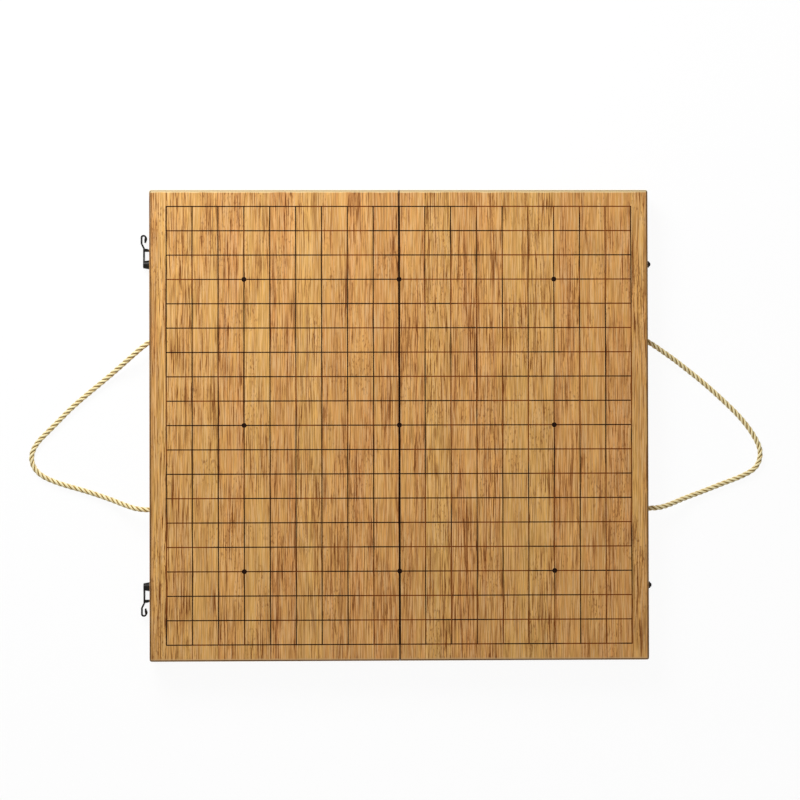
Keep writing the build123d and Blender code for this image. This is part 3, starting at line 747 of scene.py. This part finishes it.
def skinned(name: str, first: Any, rings: Sequence[Sequence[Any]], last: Any) -> Mesh:
    """Skins a row of rings and closes it with a point at each end.

    Args:
        name: The mesh's name.
        first: The point before the first ring.
        rings: The rings, each of as many points.
        last: The point after the last ring.

    Returns:
        The smooth mesh.
    """
    shape = bmesh.new()
    start = shape.verts.new(first)
    loops = [[shape.verts.new(point) for point in ring] for ring in rings]
    stop = shape.verts.new(last)
    for step in range(len(loops[0])):
        after = (step + 1) % len(loops[0])
        shape.faces.new((start, loops[0][step], loops[0][after]))
        shape.faces.new((stop, loops[-1][after], loops[-1][step]))
        for near, far in zip(loops, loops[1:]):
            shape.faces.new((near[step], far[step], far[after], near[after]))
    bmesh.ops.recalc_face_normals(shape, faces=shape.faces)
    for face in shape.faces:
        face.smooth = True
    mesh = bpy.data.meshes.new(name)
    shape.to_mesh(mesh)
    shape.free()
    return mesh


def read_spline(points: Sequence[Point], name: str) -> np.ndarray:
    """Reads a smooth line through the pull of some control points.

    Args:
        points: The control points.
        name: A name for the curve while it is read.

    Returns:
        Points along the line, close together.
    """
    curve = bpy.data.curves.new(name, "CURVE")
    curve.dimensions = "3D"
    curve.resolution_u = 24
    spline = curve.splines.new("NURBS")
    spline.points.add(len(points) - 1)
    for control, point in zip(spline.points, points):
        control.co = (*point, 1.0)
    spline.order_u = 3
    spline.use_endpoint_u = True
    holder = new_piece(name, curve)
    mesh = plain_mesh(holder)
    line = np.array([vertex.co for vertex in mesh.vertices], float)
    bpy.data.objects.remove(holder)
    bpy.data.curves.remove(curve)
    bpy.data.meshes.remove(mesh)
    return line


def angles(count: int) -> np.ndarray:
    """Gives the angles of points spaced evenly around a ring."""
    return np.arange(count) * TURN / count


def unit(vectors: np.ndarray) -> np.ndarray:
    """Gives vectors the length 1."""
    return vectors / np.linalg.norm(vectors, axis=-1, keepdims=True)


def distances(line: np.ndarray) -> np.ndarray:
    """Gives how far along a line each of its points is."""
    return np.concatenate(([0.0], np.cumsum(np.linalg.norm(np.diff(line, axis=0), axis=1))))


def evenly_spaced(line: np.ndarray, step: float) -> np.ndarray:
    """Spaces points evenly along a line.

    Args:
        line: The line's points.
        step: The wanted distance between them.

    Returns:
        The spaced points, the ends included.
    """
    gaps = np.linalg.norm(np.diff(line, axis=0), axis=1)
    line = line[np.concatenate(([True], gaps > SAME_PLACE))]
    travelled = distances(line)
    places = np.linspace(0.0, travelled[-1], max(3, round(travelled[-1] / step) + 1))
    return np.stack([np.interp(places, travelled, line[:, axis]) for axis in range(3)], axis=1)


def join_meshes(pieces: Sequence[Object], name: str) -> Object:
    """Joins pieces into one.

    Args:
        pieces: The pieces, which are used up.
        name: The joined piece's name.

    Returns:
        The joined piece.
    """
    first = pieces[0]
    with bpy.context.temp_override(
        object=first, active_object=first, selected_objects=list(pieces), selected_editable_objects=list(pieces)
    ):
        bpy.ops.object.join()
    first.name = first.data.name = name
    return first


# ---- board halves


@dataclass
class BurntGrid:
    """The burnt lines and star points of one half, laid in the panel's grooves."""

    side: Side
    lines: int = 19
    pitch_x: float = 23.7 * MM
    pitch_y: float = 22.3 * MM
    line_width: float = 0.98 * MM
    fold_line_width: float = 1.88 * MM
    thickness: float = 0.08 * MM
    star_diameter: float = 4.56 * MM
    star_step: int = 6
    fold_clearance: float = 0.21 * MM
    groove_depth: float = 0.2 * MM

    @staticmethod
    def tree() -> NodeTree:
        """Builds the tree that lays out one half's lines and star points.

        The attribute called line numbers the uprights from 100 at the fold outwards, and the levels from 200.

        Returns:
            The tree.
        """
        first_upright, first_level, stars_in_half, disc_sides = 100.0, 200.0, 6, 32
        level_share, star_share, weld_distance = 0.8, 1.2, 1e-6
        graph, given = new_group("burnt_grid", "Geometry", dict(
            geometry="Geometry", lines="Int", pitch_x="Float", pitch_y="Float", line_width="Float",
            fold_line_width="Float", thickness="Float", floor="Float", star_diameter="Float", star_step="Int",
            side="Float", fold_clearance="Float", material="Material",
        ), {"geometry": "Geometry"})
        side, width, thickness = given.side, given.line_width, given.thickness
        index = graph.out("GeometryNodeInputIndex")
        middle = (given.lines - 1.0) / 2.0
        reach_x, reach_y = (middle * pitch + width / 2.0 for pitch in (given.pitch_x, given.pitch_y))
        height = given.floor + thickness / 2.0

        def copies(count: Any, position: Wire, copied: Wire, scale: Any = (1.0, 1.0, 1.0)) -> Wire:
            """Puts a copy of a mesh on each of several points."""
            points = graph.out("GeometryNodePoints", {"Count": count, "Position": position})
            return graph.out("GeometryNodeInstanceOnPoints", dict(Points=points, Instance=copied, Scale=scale))

        def numbered(laid: Wire, first: float) -> Wire:
            """Numbers copies from first."""
            numbers = {"Geometry": laid, "Name": "line", "Value": index + first}
            return graph.out("GeometryNodeStoreNamedAttribute", numbers, data_type="FLOAT", domain="INSTANCE")

        uprights = copies(
            middle + 1.0,
            graph.joined(index * given.pitch_x * side, 0.0, height),
            graph.out("GeometryNodeMeshCube", {"Size": graph.joined(width, reach_y * 2.0, thickness)}),
            graph.joined((index < 0.5) * (given.fold_line_width / width - 1.0) + 1.0, 1.0, 1.0),
        )
        levels = copies(
            given.lines,
            graph.joined(reach_x / 2.0 * side, (index - middle) * given.pitch_y, height),
            graph.out("GeometryNodeMeshCube", {"Size": graph.joined(reach_x, width, thickness * level_share)}),
        )
        across = index % 2.0 * given.star_step * given.pitch_x * side
        along = (index // 2.0 - 1.0) * given.star_step * given.pitch_y
        disc = dict(Vertices=disc_sides, Radius=given.star_diameter / 2.0, Depth=thickness * star_share)
        disc = graph.out("GeometryNodeMeshCylinder", disc)
        stars = copies(stars_in_half, graph.joined(across, along, height), disc)
        together = graph.add("GeometryNodeJoinGeometry")
        for part in (numbered(uprights, first_upright), numbered(levels, first_level), stars):
            graph.feed(together.inputs[0], part)
        real = graph.out("GeometryNodeRealizeInstances", {0: Wire(graph, together.outputs[0])})
        x, y, z = graph.out("GeometryNodeInputPosition").apart()
        trimmed = graph.joined((x * side).at_least(given.fold_clearance) * side, y, z)
        moved = graph.out("GeometryNodeSetPosition", {"Geometry": real, "Position": trimmed})
        merged = graph.out("GeometryNodeMergeByDistance", {"Geometry": moved, "Distance": weld_distance})
        inked = graph.out("GeometryNodeSetMaterial", {"Geometry": merged, "Material": given.material})
        graph.add("NodeGroupOutput", {0: inked})
        return graph.tree

    def build(self, tree: NodeTree, material: Material, top: float) -> Object:
        """Lays the half's lines in its grooves.

        Args:
            tree: The layout tree.
            material: The burnt lines' material.
            top: The height of the panel's top face.

        Returns:
            The piece.
        """
        name = f"{self.side.word}_burnt_grid"
        piece = new_piece(name, bpy.data.meshes.new(name))
        here = dict(side=self.side.sign, floor=top - self.groove_depth, material=material)
        made_by_nodes(piece, tree, {**vars(self), **here})
        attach(piece, self.side.body)
        return piece


@dataclass
class BoardHalf:
    """One tray: its playing panel, walls and dividers, and the burnt grid."""

    side: Side
    panel: BambooFinish = field(default_factory=BambooFinish)
    frame: BambooFinish = field(default_factory=lambda: BambooFinish(strip_width=0.0115, streak_amount=0.7))
    burn_start: float = 0.04 * MM

    def build(
        self, nodes: Pieces, groups: ShaderGroups, tree: NodeTree, burn: Material
    ) -> None:
        """Dresses the tray's wood and lays its grid.

        Args:
            nodes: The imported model's nodes.
            groups: The shader groups.
            tree: The grid's layout tree.
            burn: The burnt lines' material.
        """
        panel = f"{self.side.word}_playing_panel"
        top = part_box(panel)[1].z
        self.panel.dress(groups, nodes[panel], Grain.ALONG_Y, top - self.burn_start)
        for grain, parts in (
            (Grain.ALONG_Y, ("outer_wall", "middle_wall")),
            (Grain.ALONG_X, ("front_wall", "back_wall", "front_divider", "back_divider")),
        ):
            for part in parts:
                self.frame.dress(groups, nodes[f"{self.side.word}_{part}"], grain)
        grid = BurntGrid(self.side).build(tree, burn, top)
        LOG.info("%s tray dressed, grid of %d faces", self.side.word, len(grid.data.polygons))


@dataclass
class SlidingLid:
    """The thin lid over one half's middle well."""

    side: Side
    wood: BambooFinish = field(
        default_factory=lambda: BambooFinish(
            strip_width=0.0178, golden=srgb(214, 168, 100), rosy=srgb(204, 148, 88), streak_amount=0.6
        )
    )

    def build(self, nodes: Pieces, groups: ShaderGroups) -> None:
        """Dresses the lid."""
        self.wood.dress(groups, nodes[f"{self.side.word}_lid"], Grain.ALONG_X)
        LOG.info("%s lid dressed", self.side.word)


# ---- stones


@dataclass
class StoneBed:
    """The stones that lie in one half's middle well."""

    side: Side
    count: int
    diameter: float = 21.0 * MM
    thickness: float = 5.6 * MM
    rim: float = 1.2 * MM
    gap: float = 0.3 * MM
    layers: int = 3
    segments: int = 20
    rings: int = 4

    @staticmethod
    def tree() -> NodeTree:
        """Builds the tree that fills a well with copies of one stone, in staggered rows.

        Returns:
            The tree.
        """
        graph, given = new_group("stone_bed", "Geometry", dict(
            geometry="Geometry", count="Int", columns="Int", rows="Int", column_pitch="Float", row_pitch="Float",
            layer_pitch="Float", start="Vector", material="Material",
        ), {"geometry": "Geometry"})
        index = graph.out("GeometryNodeInputIndex")
        whole_row = index // given.columns
        row = whole_row % given.rows
        offset = graph.joined(
            (index % given.columns + row % 2.0 / 2.0) * given.column_pitch,
            row * given.row_pitch,
            whole_row // given.rows * given.layer_pitch,
        )
        position = graph.out("ShaderNodeVectorMath", {0: offset, 1: given.start}, operation="ADD")
        turn = graph.out("FunctionNodeRandomValue", {"Seed": TURN_SEED, 3: TURN}, 1, data_type="FLOAT")
        laid = graph.out("GeometryNodeInstanceOnPoints", {
            "Points": graph.out("GeometryNodePoints", {"Count": given.count, "Position": position}),
            "Instance": given.geometry,
            "Rotation": graph.joined(0.0, 0.0, turn),
        })
        real = graph.out("GeometryNodeRealizeInstances", {0: laid})
        done = graph.out("GeometryNodeSetMaterial", {"Geometry": real, "Material": given.material})
        graph.add("NodeGroupOutput", {0: done})
        return graph.tree

    def one_stone(self) -> Mesh:
        """Turns one stone, two shallow domes on a narrow rim.

        Returns:
            The stone's mesh, about the origin.
        """
        radius, top = self.diameter / 2, self.thickness / 2
        dome = (self.thickness - self.rim) / 2
        sphere = (radius**2 + dome**2) / (2 * dome)
        reaches = [radius * math.sin(math.pi / 2 * step / self.rings) for step in range(1, self.rings + 1)]
        upper = [(reach, top - sphere + math.sqrt(sphere**2 - reach**2)) for reach in reaches]
        profile = upper + [(reach, -height) for reach, height in reversed(upper)]
        turns = angles(self.segments)
        rings = [
            [(reach * math.cos(turn), reach * math.sin(turn), height) for turn in turns] for reach, height in profile
        ]
        return skinned("one_stone", (0.0, 0.0, top), rings, (0.0, 0.0, -top))

    def build(self, tree: NodeTree, colour: str, material: Material) -> Object:
        """Fills the well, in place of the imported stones.

        Args:
            tree: The filling tree.
            colour: The stones' colour, as in the node's name.
            material: The stones' material.

        Returns:
            The piece.
        """
        node = f"{colour}_stones"
        low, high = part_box(node)
        span = high.x - low.x - self.diameter
        columns = int(span / (self.diameter + self.gap) + 0.5)
        column_pitch = span / (columns - 0.5)
        rows = math.ceil(self.count / (columns * self.layers))
        row_pitch = math.sqrt((self.diameter + self.gap) ** 2 - (column_pitch / 2) ** 2)
        piece = new_piece(f"{colour}_go_stones", self.one_stone())
        start = (low.x + self.diameter / 2, -(rows - 1) / 2 * row_pitch, low.z + self.thickness / 2)
        made_by_nodes(piece, tree, dict(
            count=self.count, columns=columns, rows=rows, column_pitch=column_pitch, row_pitch=row_pitch,
            layer_pitch=self.thickness + self.gap, start=start, material=material,
        ))
        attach(piece, self.side.body)
        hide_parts(node)
        LOG.info("%d %s stones, %d columns by %d rows", self.count, colour, columns, rows)
        return piece


# ---- cord handles


@dataclass
class LaidRope:
    """A rope of twisted strands, each with yarns twisted the other way."""

    diameter: float = 5.0 * MM
    strands: int = 3
    lay: float = 16.0 * MM
    yarns: int = 5
    yarn_lay: float = 9.0 * MM
    yarn_relief: float = 0.045
    strand_fullness: float = 1.02
    strand_flatness: float = 1.06
    segments: int = 30
    step: float = 0.9 * MM

    def mesh(self, line: np.ndarray, name: str) -> Mesh:
        """Lays the strands along a line.

        Args:
            line: The rope's centre line.
            name: The mesh's name.

        Returns:
            The mesh, with each strand closed at its ends.
        """
        centre = evenly_spaced(line, self.step)
        rings = len(centre)
        tangent = unit(np.gradient(centre, axis=0))
        travelled = distances(centre)
        normal = np.zeros_like(centre)
        across = np.array((0.0, 0.0, 1.0))
        for number in range(rings):
            across = unit(across - tangent[number] * across.dot(tangent[number]))
            normal[number] = across
        side = np.cross(tangent, normal)
        rope_radius = self.diameter / 2
        strand_radius = rope_radius / (1 + 2 / math.sqrt(3)) * self.strand_fullness
        points, faces, crown, yarn, around = [], [], [], [], []
        turns = angles(self.segments)
        shares = np.arange(self.segments + 1) / self.segments
        for strand in range(self.strands):
            angle = TURN * (travelled / self.lay + strand / self.strands)
            outward = np.cos(angle)[:, None] * normal + np.sin(angle)[:, None] * side
            strand_line = centre + (rope_radius - strand_radius) * outward
            heading = unit(np.gradient(strand_line, axis=0))
            outward = unit(outward - heading * np.sum(outward * heading, axis=1)[:, None])
            sideways = np.cross(heading, outward)
            relief = np.cos(self.yarns * (turns[None, :] + TURN * travelled[:, None] / self.yarn_lay))
            reach = (strand_radius * (1 + self.yarn_relief * (relief - 1)))[:, :, None]
            ring = (
                strand_line[:, None, :]
                + reach * np.cos(turns)[None, :, None] * outward[:, None, :]
                + self.strand_flatness * reach * np.sin(turns)[None, :, None] * sideways[:, None, :]
            )
            grid = len(points) + np.arange(rings * self.segments).reshape(rings, self.segments)
            after = np.roll(grid, -1, axis=1)
            faces += np.stack((grid[:-1], after[:-1], after[1:], grid[1:]), axis=-1).reshape(-1, 4).tolist()
            faces += [grid[0, ::-1].tolist(), grid[-1].tolist()]
            left, near = np.meshgrid(strand + shares[:-1], travelled[:-1])
            right, far = np.meshgrid(strand + shares[1:], travelled[1:])
            around += np.stack((left, near, right, near, right, far, left, far), axis=-1).ravel().tolist()
            around += [float(strand), 0.0] * (2 * self.segments)
            points += ring.reshape(-1, 3).tolist()
            # crown, how far each point lies from the rope's axis, becomes painted shade in the hollows and a painted
            # highlight on the crowns in the cord's material; yarn, the yarns' relief, becomes painted shade in their
            # grooves.
            crown += (np.linalg.norm(ring - centre[:, None, :], axis=2) / rope_radius).ravel().tolist()
            yarn += ((relief + 1) / 2).ravel().tolist()
        mesh = bpy.data.meshes.new(name)
        mesh.from_pydata(points, [], faces)
        for label, values in (("crown", crown), ("yarn", yarn)):
            mesh.attributes.new(label, "FLOAT", "POINT").data.foreach_set("value", values)
        mesh.uv_layers.new(name="strand").data.foreach_set("uv", around)
        mesh.shade_smooth()
        mesh.update()
        return mesh


@dataclass
class CordHandle:
    """The cord handle of one half, with its two stopper knots inside the wall."""

    side: Side
    route: Sequence[Point]
    length: float
    rope: LaidRope = field(default_factory=LaidRope)
    knot_cord: LaidRope = field(default_factory=lambda: LaidRope(diameter=4.2 * MM, lay=10.0 * MM))
    way_in: Sequence[float] = (0.0, 3.0 * MM, 6.5 * MM, 10.0 * MM)
    knot_depth: float = 14.97 * MM
    knot_radius: float = 1.12 * MM
    knot_points: int = 30
    knot_flatness: float = 1.6
    knot_turn: float = 0.4
    tail: Sequence[Point] = ((5.0 * MM, 1.0 * MM, -0.6 * MM), (9.0 * MM, 1.8 * MM, -1.6 * MM))
    keep_when_shut: float = 0.82

    def knot_line(self, hole: Vector) -> np.ndarray:
        """Draws an overhand knot behind the wall, with its short tail.

        Args:
            hole: The middle of the hole in the wall's outer face.

        Returns:
            Points along the knot.
        """
        sign = self.side.sign
        points = [(hole.x - sign * depth, hole.y, hole.z) for depth in self.way_in]
        for step in range(2, self.knot_points - 1):
            turn = TURN * step / self.knot_points
            reach = self.knot_radius * (2 + math.cos(3 * turn))
            depth = self.knot_depth + self.knot_flatness * self.knot_radius * math.sin(3 * turn)
            points.append((
                hole.x - sign * depth,
                hole.y + reach * math.cos(2 * turn + self.knot_turn),
                hole.z + reach * math.sin(2 * turn + self.knot_turn),
            ))
        for further, along, up in self.tail:
            points.append((hole.x - sign * (self.knot_depth + further), hole.y + along, hole.z + up))
        return read_spline(points, "knot_line")

    def build(self, material: Material) -> None:
        """Makes the handle and its knots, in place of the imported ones.

        Args:
            material: The cord's material.
        """
        word = self.side.word
        route = [(self.side.sign * x * MM, y * MM, z * MM) for x, y, z in self.route]
        line = read_spline(route, f"{word}_handle_line")
        handle = new_piece(f"{word}_cord_handle", self.rope.mesh(line, f"{word}_cord_handle"))
        knots = [
            new_piece("knot", self.knot_cord.mesh(self.knot_line(Vector(end)), "knot"))
            for end in (route[0], route[-1])
        ]
        stopper = join_meshes(knots, f"{word}_stopper_knots")
        for piece, node in ((handle, f"{word}_rope"), (stopper, f"{word}_rope_knots")):
            put_material(piece, material)
            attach(piece, self.side.body)
            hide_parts(node)
        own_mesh(handle)
        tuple(route[0])
        [tuple(point) for point in evenly_spaced(line, self.rope.step)]
        LOG.info("%s cord handle, %.1f mm long", word, self.length / MM)


# The handles' routes from the back hole to the front one, in millimetres, with X outwards.
LEFT_ROUTE: list[Point] = [
    (229.0, 77.5, 15.05), (234.2, 74.4, 14.8), (244.5, 65.8, 12.4), (256.0, 56.0, 8.2), (268.0, 45.9, 4.9),
    (281.0, 35.4, 3.2), (302.0, 18.0, 2.9), (322.0, -2.6, 2.9), (337.2, -17.5, 2.9), (341.5, -32.0, 2.9),
    (333.5, -45.5, 2.9), (314.0, -53.8, 2.9), (290.0, -60.4, 2.9), (269.0, -67.4, 4.6), (252.4, -73.6, 10.4),
    (239.5, -77.5, 15.05), (229.0, -77.5, 15.05),
]
RIGHT_ROUTE: list[Point] = [
    (229.0, 77.5, 15.05), (234.8, 74.2, 14.8), (245.5, 67.0, 12.4), (257.0, 59.4, 8.4), (269.0, 50.4, 5.0),
    (281.8, 40.6, 3.2), (300.6, 24.0, 2.9), (319.6, 5.4, 2.9), (331.5, -11.0, 2.9), (338.0, -25.5, 2.9),
    (334.0, -40.5, 2.9), (319.5, -48.6, 2.9), (302.0, -54.9, 2.9), (283.0, -62.4, 3.2), (264.6, -68.8, 6.0),
    (251.0, -74.2, 11.4), (239.5, -77.5, 15.05), (229.0, -77.5, 15.05),
]


# ---- hardware


@dataclass
class RolledEnd:
    """The thick rolled end of a swing hook's finger pull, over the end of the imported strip."""

    end: End
    hook_place: Point = (229.0 * MM, 149.0 * MM, 5.375 * MM)
    path: Sequence[tuple[float, float]] = ((5.1, 26.4), (5.0, 24.4), (5.4, 22.2), (5.9, 20.4))
    thickness: float = 1.3 * MM
    width: float = 1.75 * MM
    bulge: float = 0.55
    rings: int = 14
    segments: int = 20

    def build(self, material: Material) -> Object:
        """Makes the rolled end, which rides on its hook.

        Args:
            material: The hook's metal.

        Returns:
            The piece.
        """
        name = f"{self.end.word}_hook_rolled_end"
        out_x, along_y, pivot_z = self.hook_place
        line = read_spline(
            [(-(out_x + out * MM), self.end.sign * (along_y + along * MM), pivot_z) for out, along in self.path], name
        )
        centre = evenly_spaced(line, distances(line)[-1] / (self.rings + 1))
        heading = unit(np.gradient(centre, axis=0))
        upward = np.array((0.0, 0.0, 1.0))
        turns = angles(self.segments)
        rings = []
        for number in range(1, len(centre) - 1):
            swell = math.sin(math.pi * number / (len(centre) - 1)) ** self.bulge
            thick = swell * self.thickness * np.cross(upward, heading[number])
            wide = swell * self.width * upward
            rings.append([centre[number] + math.cos(turn) * thick + math.sin(turn) * wide for turn in turns])
        piece = new_piece(name, skinned(name, centre[0], rings, centre[-1]))
        put_material(piece, material)
        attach(piece, f"{self.end.word}_hook")
        return piece


@dataclass
class Hardware:
    """The hinges, swing hooks and studs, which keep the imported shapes."""

    brass: MetalFinish = MetalFinish(
        name="hinge_brass", finish=(0.60, 0.42, 0.17), bare=(0.32, 0.20, 0.08), wear=0.5, gloss=0.3, scale=260.0,
        metallic=1.0, coat_weight=0.0,
    )
    dark: MetalFinish = MetalFinish(
        name="antique_black", finish=(0.006, 0.005, 0.004), bare=(0.05, 0.035, 0.02), wear=0.25, gloss=0.28,
        scale=420.0, metallic=0.1, coat_weight=0.04, specular_ior_level=0.14,
    )

    def build(self, nodes: Pieces, groups: ShaderGroups) -> None:
        """Dresses every metal piece.

        Args:
            nodes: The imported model's nodes.
            groups: The shader groups.
        """
        brass, dark = self.brass.material(groups.metal), self.dark.material(groups.metal)
        for side in Side:
            put_material(nodes[f"{side.word}_hinge_screws"], brass)
        for end in End:
            for metal, parts in (
                (brass, ("hinge_left_leaf", "hinge_right_leaf", "hinge_pin")),
                (dark, ("hook_plate", "hook", "hook_screw", "stud")),
            ):
                for part in parts:
                    put_material(nodes[f"{end.word}_{part}"], metal)
            RolledEnd(end).build(dark)
            LOG.info("%s hinge, hook and stud dressed", end.word)


# ---- studio


@dataclass
class Studio:
    """The clear floor, the soft lamp, the even room and the camera above the board."""

    camera_place: Point = (-0.0399, 0.0007, 2.0)
    camera_turn_deg: Point = (0.65, -1.175, -0.138)
    focal_share: float = 2149.8 / 800
    clip_end: float = 30.0
    floor_size: float = 8.0
    floor_colour: Colour = (0.94, 0.94, 0.94)
    floor_clearness: float = 0.94
    contact_reach: float = 4.0 * MM
    contact_fade: tuple[float, float] = (0.2, 0.5)
    sky_strength: float = 0.36
    ground_strength: float = 0.8
    horizon: float = 0.05
    key_place: Point = (-0.46, 0.90, 0.80)
    key_size: float = 0.7
    key_power: float = 16.8

    def build(self) -> None:
        """Makes the camera, the floor, the lamp and the world."""
        self._camera()
        self._floor()
        self._lamp()
        self._world()
        LOG.info("studio ready")

    def _camera(self) -> None:
        """Puts the camera above the board."""
        lens = bpy.data.cameras.new("camera")
        lens.sensor_fit = "HORIZONTAL"
        lens.lens = lens.sensor_width * self.focal_share
        lens.clip_end = self.clip_end
        camera = new_piece("camera", lens)
        camera.location = self.camera_place
        camera.rotation_euler = Euler([math.radians(turn) for turn in self.camera_turn_deg], "XYZ")
        bpy.context.scene.camera = camera

    @staticmethod
    def _seen(graph: Graph) -> Wire:
        """Tells camera, mirror and glass rays from light that falls on the object.

        Args:
            graph: The material's or the world's graph.

        Returns:
            1 for rays that see the background, else 0.
        """
        path = graph.add("ShaderNodeLightPath")
        camera, glossy, through = (Wire(graph, path.outputs[f"Is {kind} Ray"]) for kind in (
            "Camera", "Glossy", "Transmission"
        ))
        return camera.at_least(glossy).at_least(through)

    def _floor(self) -> None:
        """Lays a clear sheet that shows only the object's contact shadow, so that the shut case shows below it."""
        mesh = bpy.data.meshes.new("floor")
        half = self.floor_size / 2
        corners = [(x * half, y * half, 0.0) for x, y in ((-1, -1), (1, -1), (1, 1), (-1, 1))]
        mesh.from_pydata(corners, [], [(0, 1, 2, 3)])
        floor = new_piece("floor", mesh)
        material = bpy.data.materials.new("pale_floor")
        material.use_nodes = True
        graph = Graph(material.node_tree)
        graph.tree.nodes.clear()
        plain = graph.out("ShaderNodeBsdfDiffuse", {"Color": self.floor_colour})
        clear = graph.out("ShaderNodeBsdfTransparent")
        open_to_air = graph.out("ShaderNodeAmbientOcclusion", {"Distance": self.contact_reach}, "AO")
        open_to_air = open_to_air.ease(*self.contact_fade)
        from_above = 1.0 - graph.out("ShaderNodeNewGeometry", output="Backfacing")
        share = self._seen(graph) * from_above * (1.0 - open_to_air * self.floor_clearness)
        both = graph.out("ShaderNodeMixShader", {0: share, 1: clear, 2: plain})
        graph.add("ShaderNodeOutputMaterial", {"Surface": both})
        put_material(floor, material)
        floor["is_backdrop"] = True

    def _lamp(self) -> None:
        """Hangs one large soft lamp at the back left."""
        lamp = bpy.data.lights.new("key", "AREA")
        lamp.shape = "DISK"
        lamp.size = self.key_size
        lamp.energy = self.key_power
        holder = new_piece("key", lamp)
        holder.location = self.key_place
        holder.rotation_euler = (-Vector(self.key_place)).to_track_quat("-Z", "Y").to_euler()

    def _world(self) -> None:
        """Fills the room with even light, and shows it white."""
        world = bpy.data.worlds.new("room")
        world.use_nodes = True
        bpy.context.scene.world = world
        graph = Graph(world.node_tree)
        upward = graph.out("ShaderNodeTexCoord", output="Object").apart()[2]
        light = upward.ease(-self.horizon, self.horizon, self.ground_strength, self.sky_strength)
        seen = self._seen(graph)
        background = world.node_tree.nodes["Background"]
        graph.feed(background.inputs["Color"], (1.0, 1.0, 1.0))
        graph.feed(background.inputs["Strength"], seen + (1.0 - seen) * light)


def main() -> None:
    """Builds and dresses the whole set."""
    logging.basicConfig(level=logging.INFO, format="%(name)s: %(message)s")
    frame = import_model()
    packed_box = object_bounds()
    bpy.context.scene.view_settings.view_transform = "Standard"
    Studio().build()
    nodes = frame["nodes"]
    cord = CordFinish().material()
    CordHandle(Side.LEFT, LEFT_ROUTE, 288.9 * MM).build(cord)
    CordHandle(Side.RIGHT, RIGHT_ROUTE, 283.6 * MM).build(cord)
    groups = ShaderGroups()
    grid_tree = BurntGrid.tree()
    burn = BurnFinish().material()
    for side in Side:
        BoardHalf(side).build(nodes, groups, grid_tree, burn)
        SlidingLid(side).build(nodes, groups)
    bed_tree = StoneBed.tree()
    black = StoneFinish(name="black_stone", body=(0.014, 0.014, 0.016), cloud=(0.035, 0.035, 0.038), gloss=0.32)
    white = StoneFinish(name="white_stone", body=(0.80, 0.78, 0.70), cloud=(0.70, 0.67, 0.58), gloss=0.26)
    StoneBed(Side.LEFT, 181).build(bed_tree, "black", black.material(groups.clouding))
    StoneBed(Side.RIGHT, 180).build(bed_tree, "white", white.material(groups.clouding))
    Hardware().build(nodes, groups)
    boxes = {"packed": packed_box, "visual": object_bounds()}
    {name: [list(map(float, corner)) for corner in box] for name, box in boxes.items()}


if __name__ == "__main__":
    main()
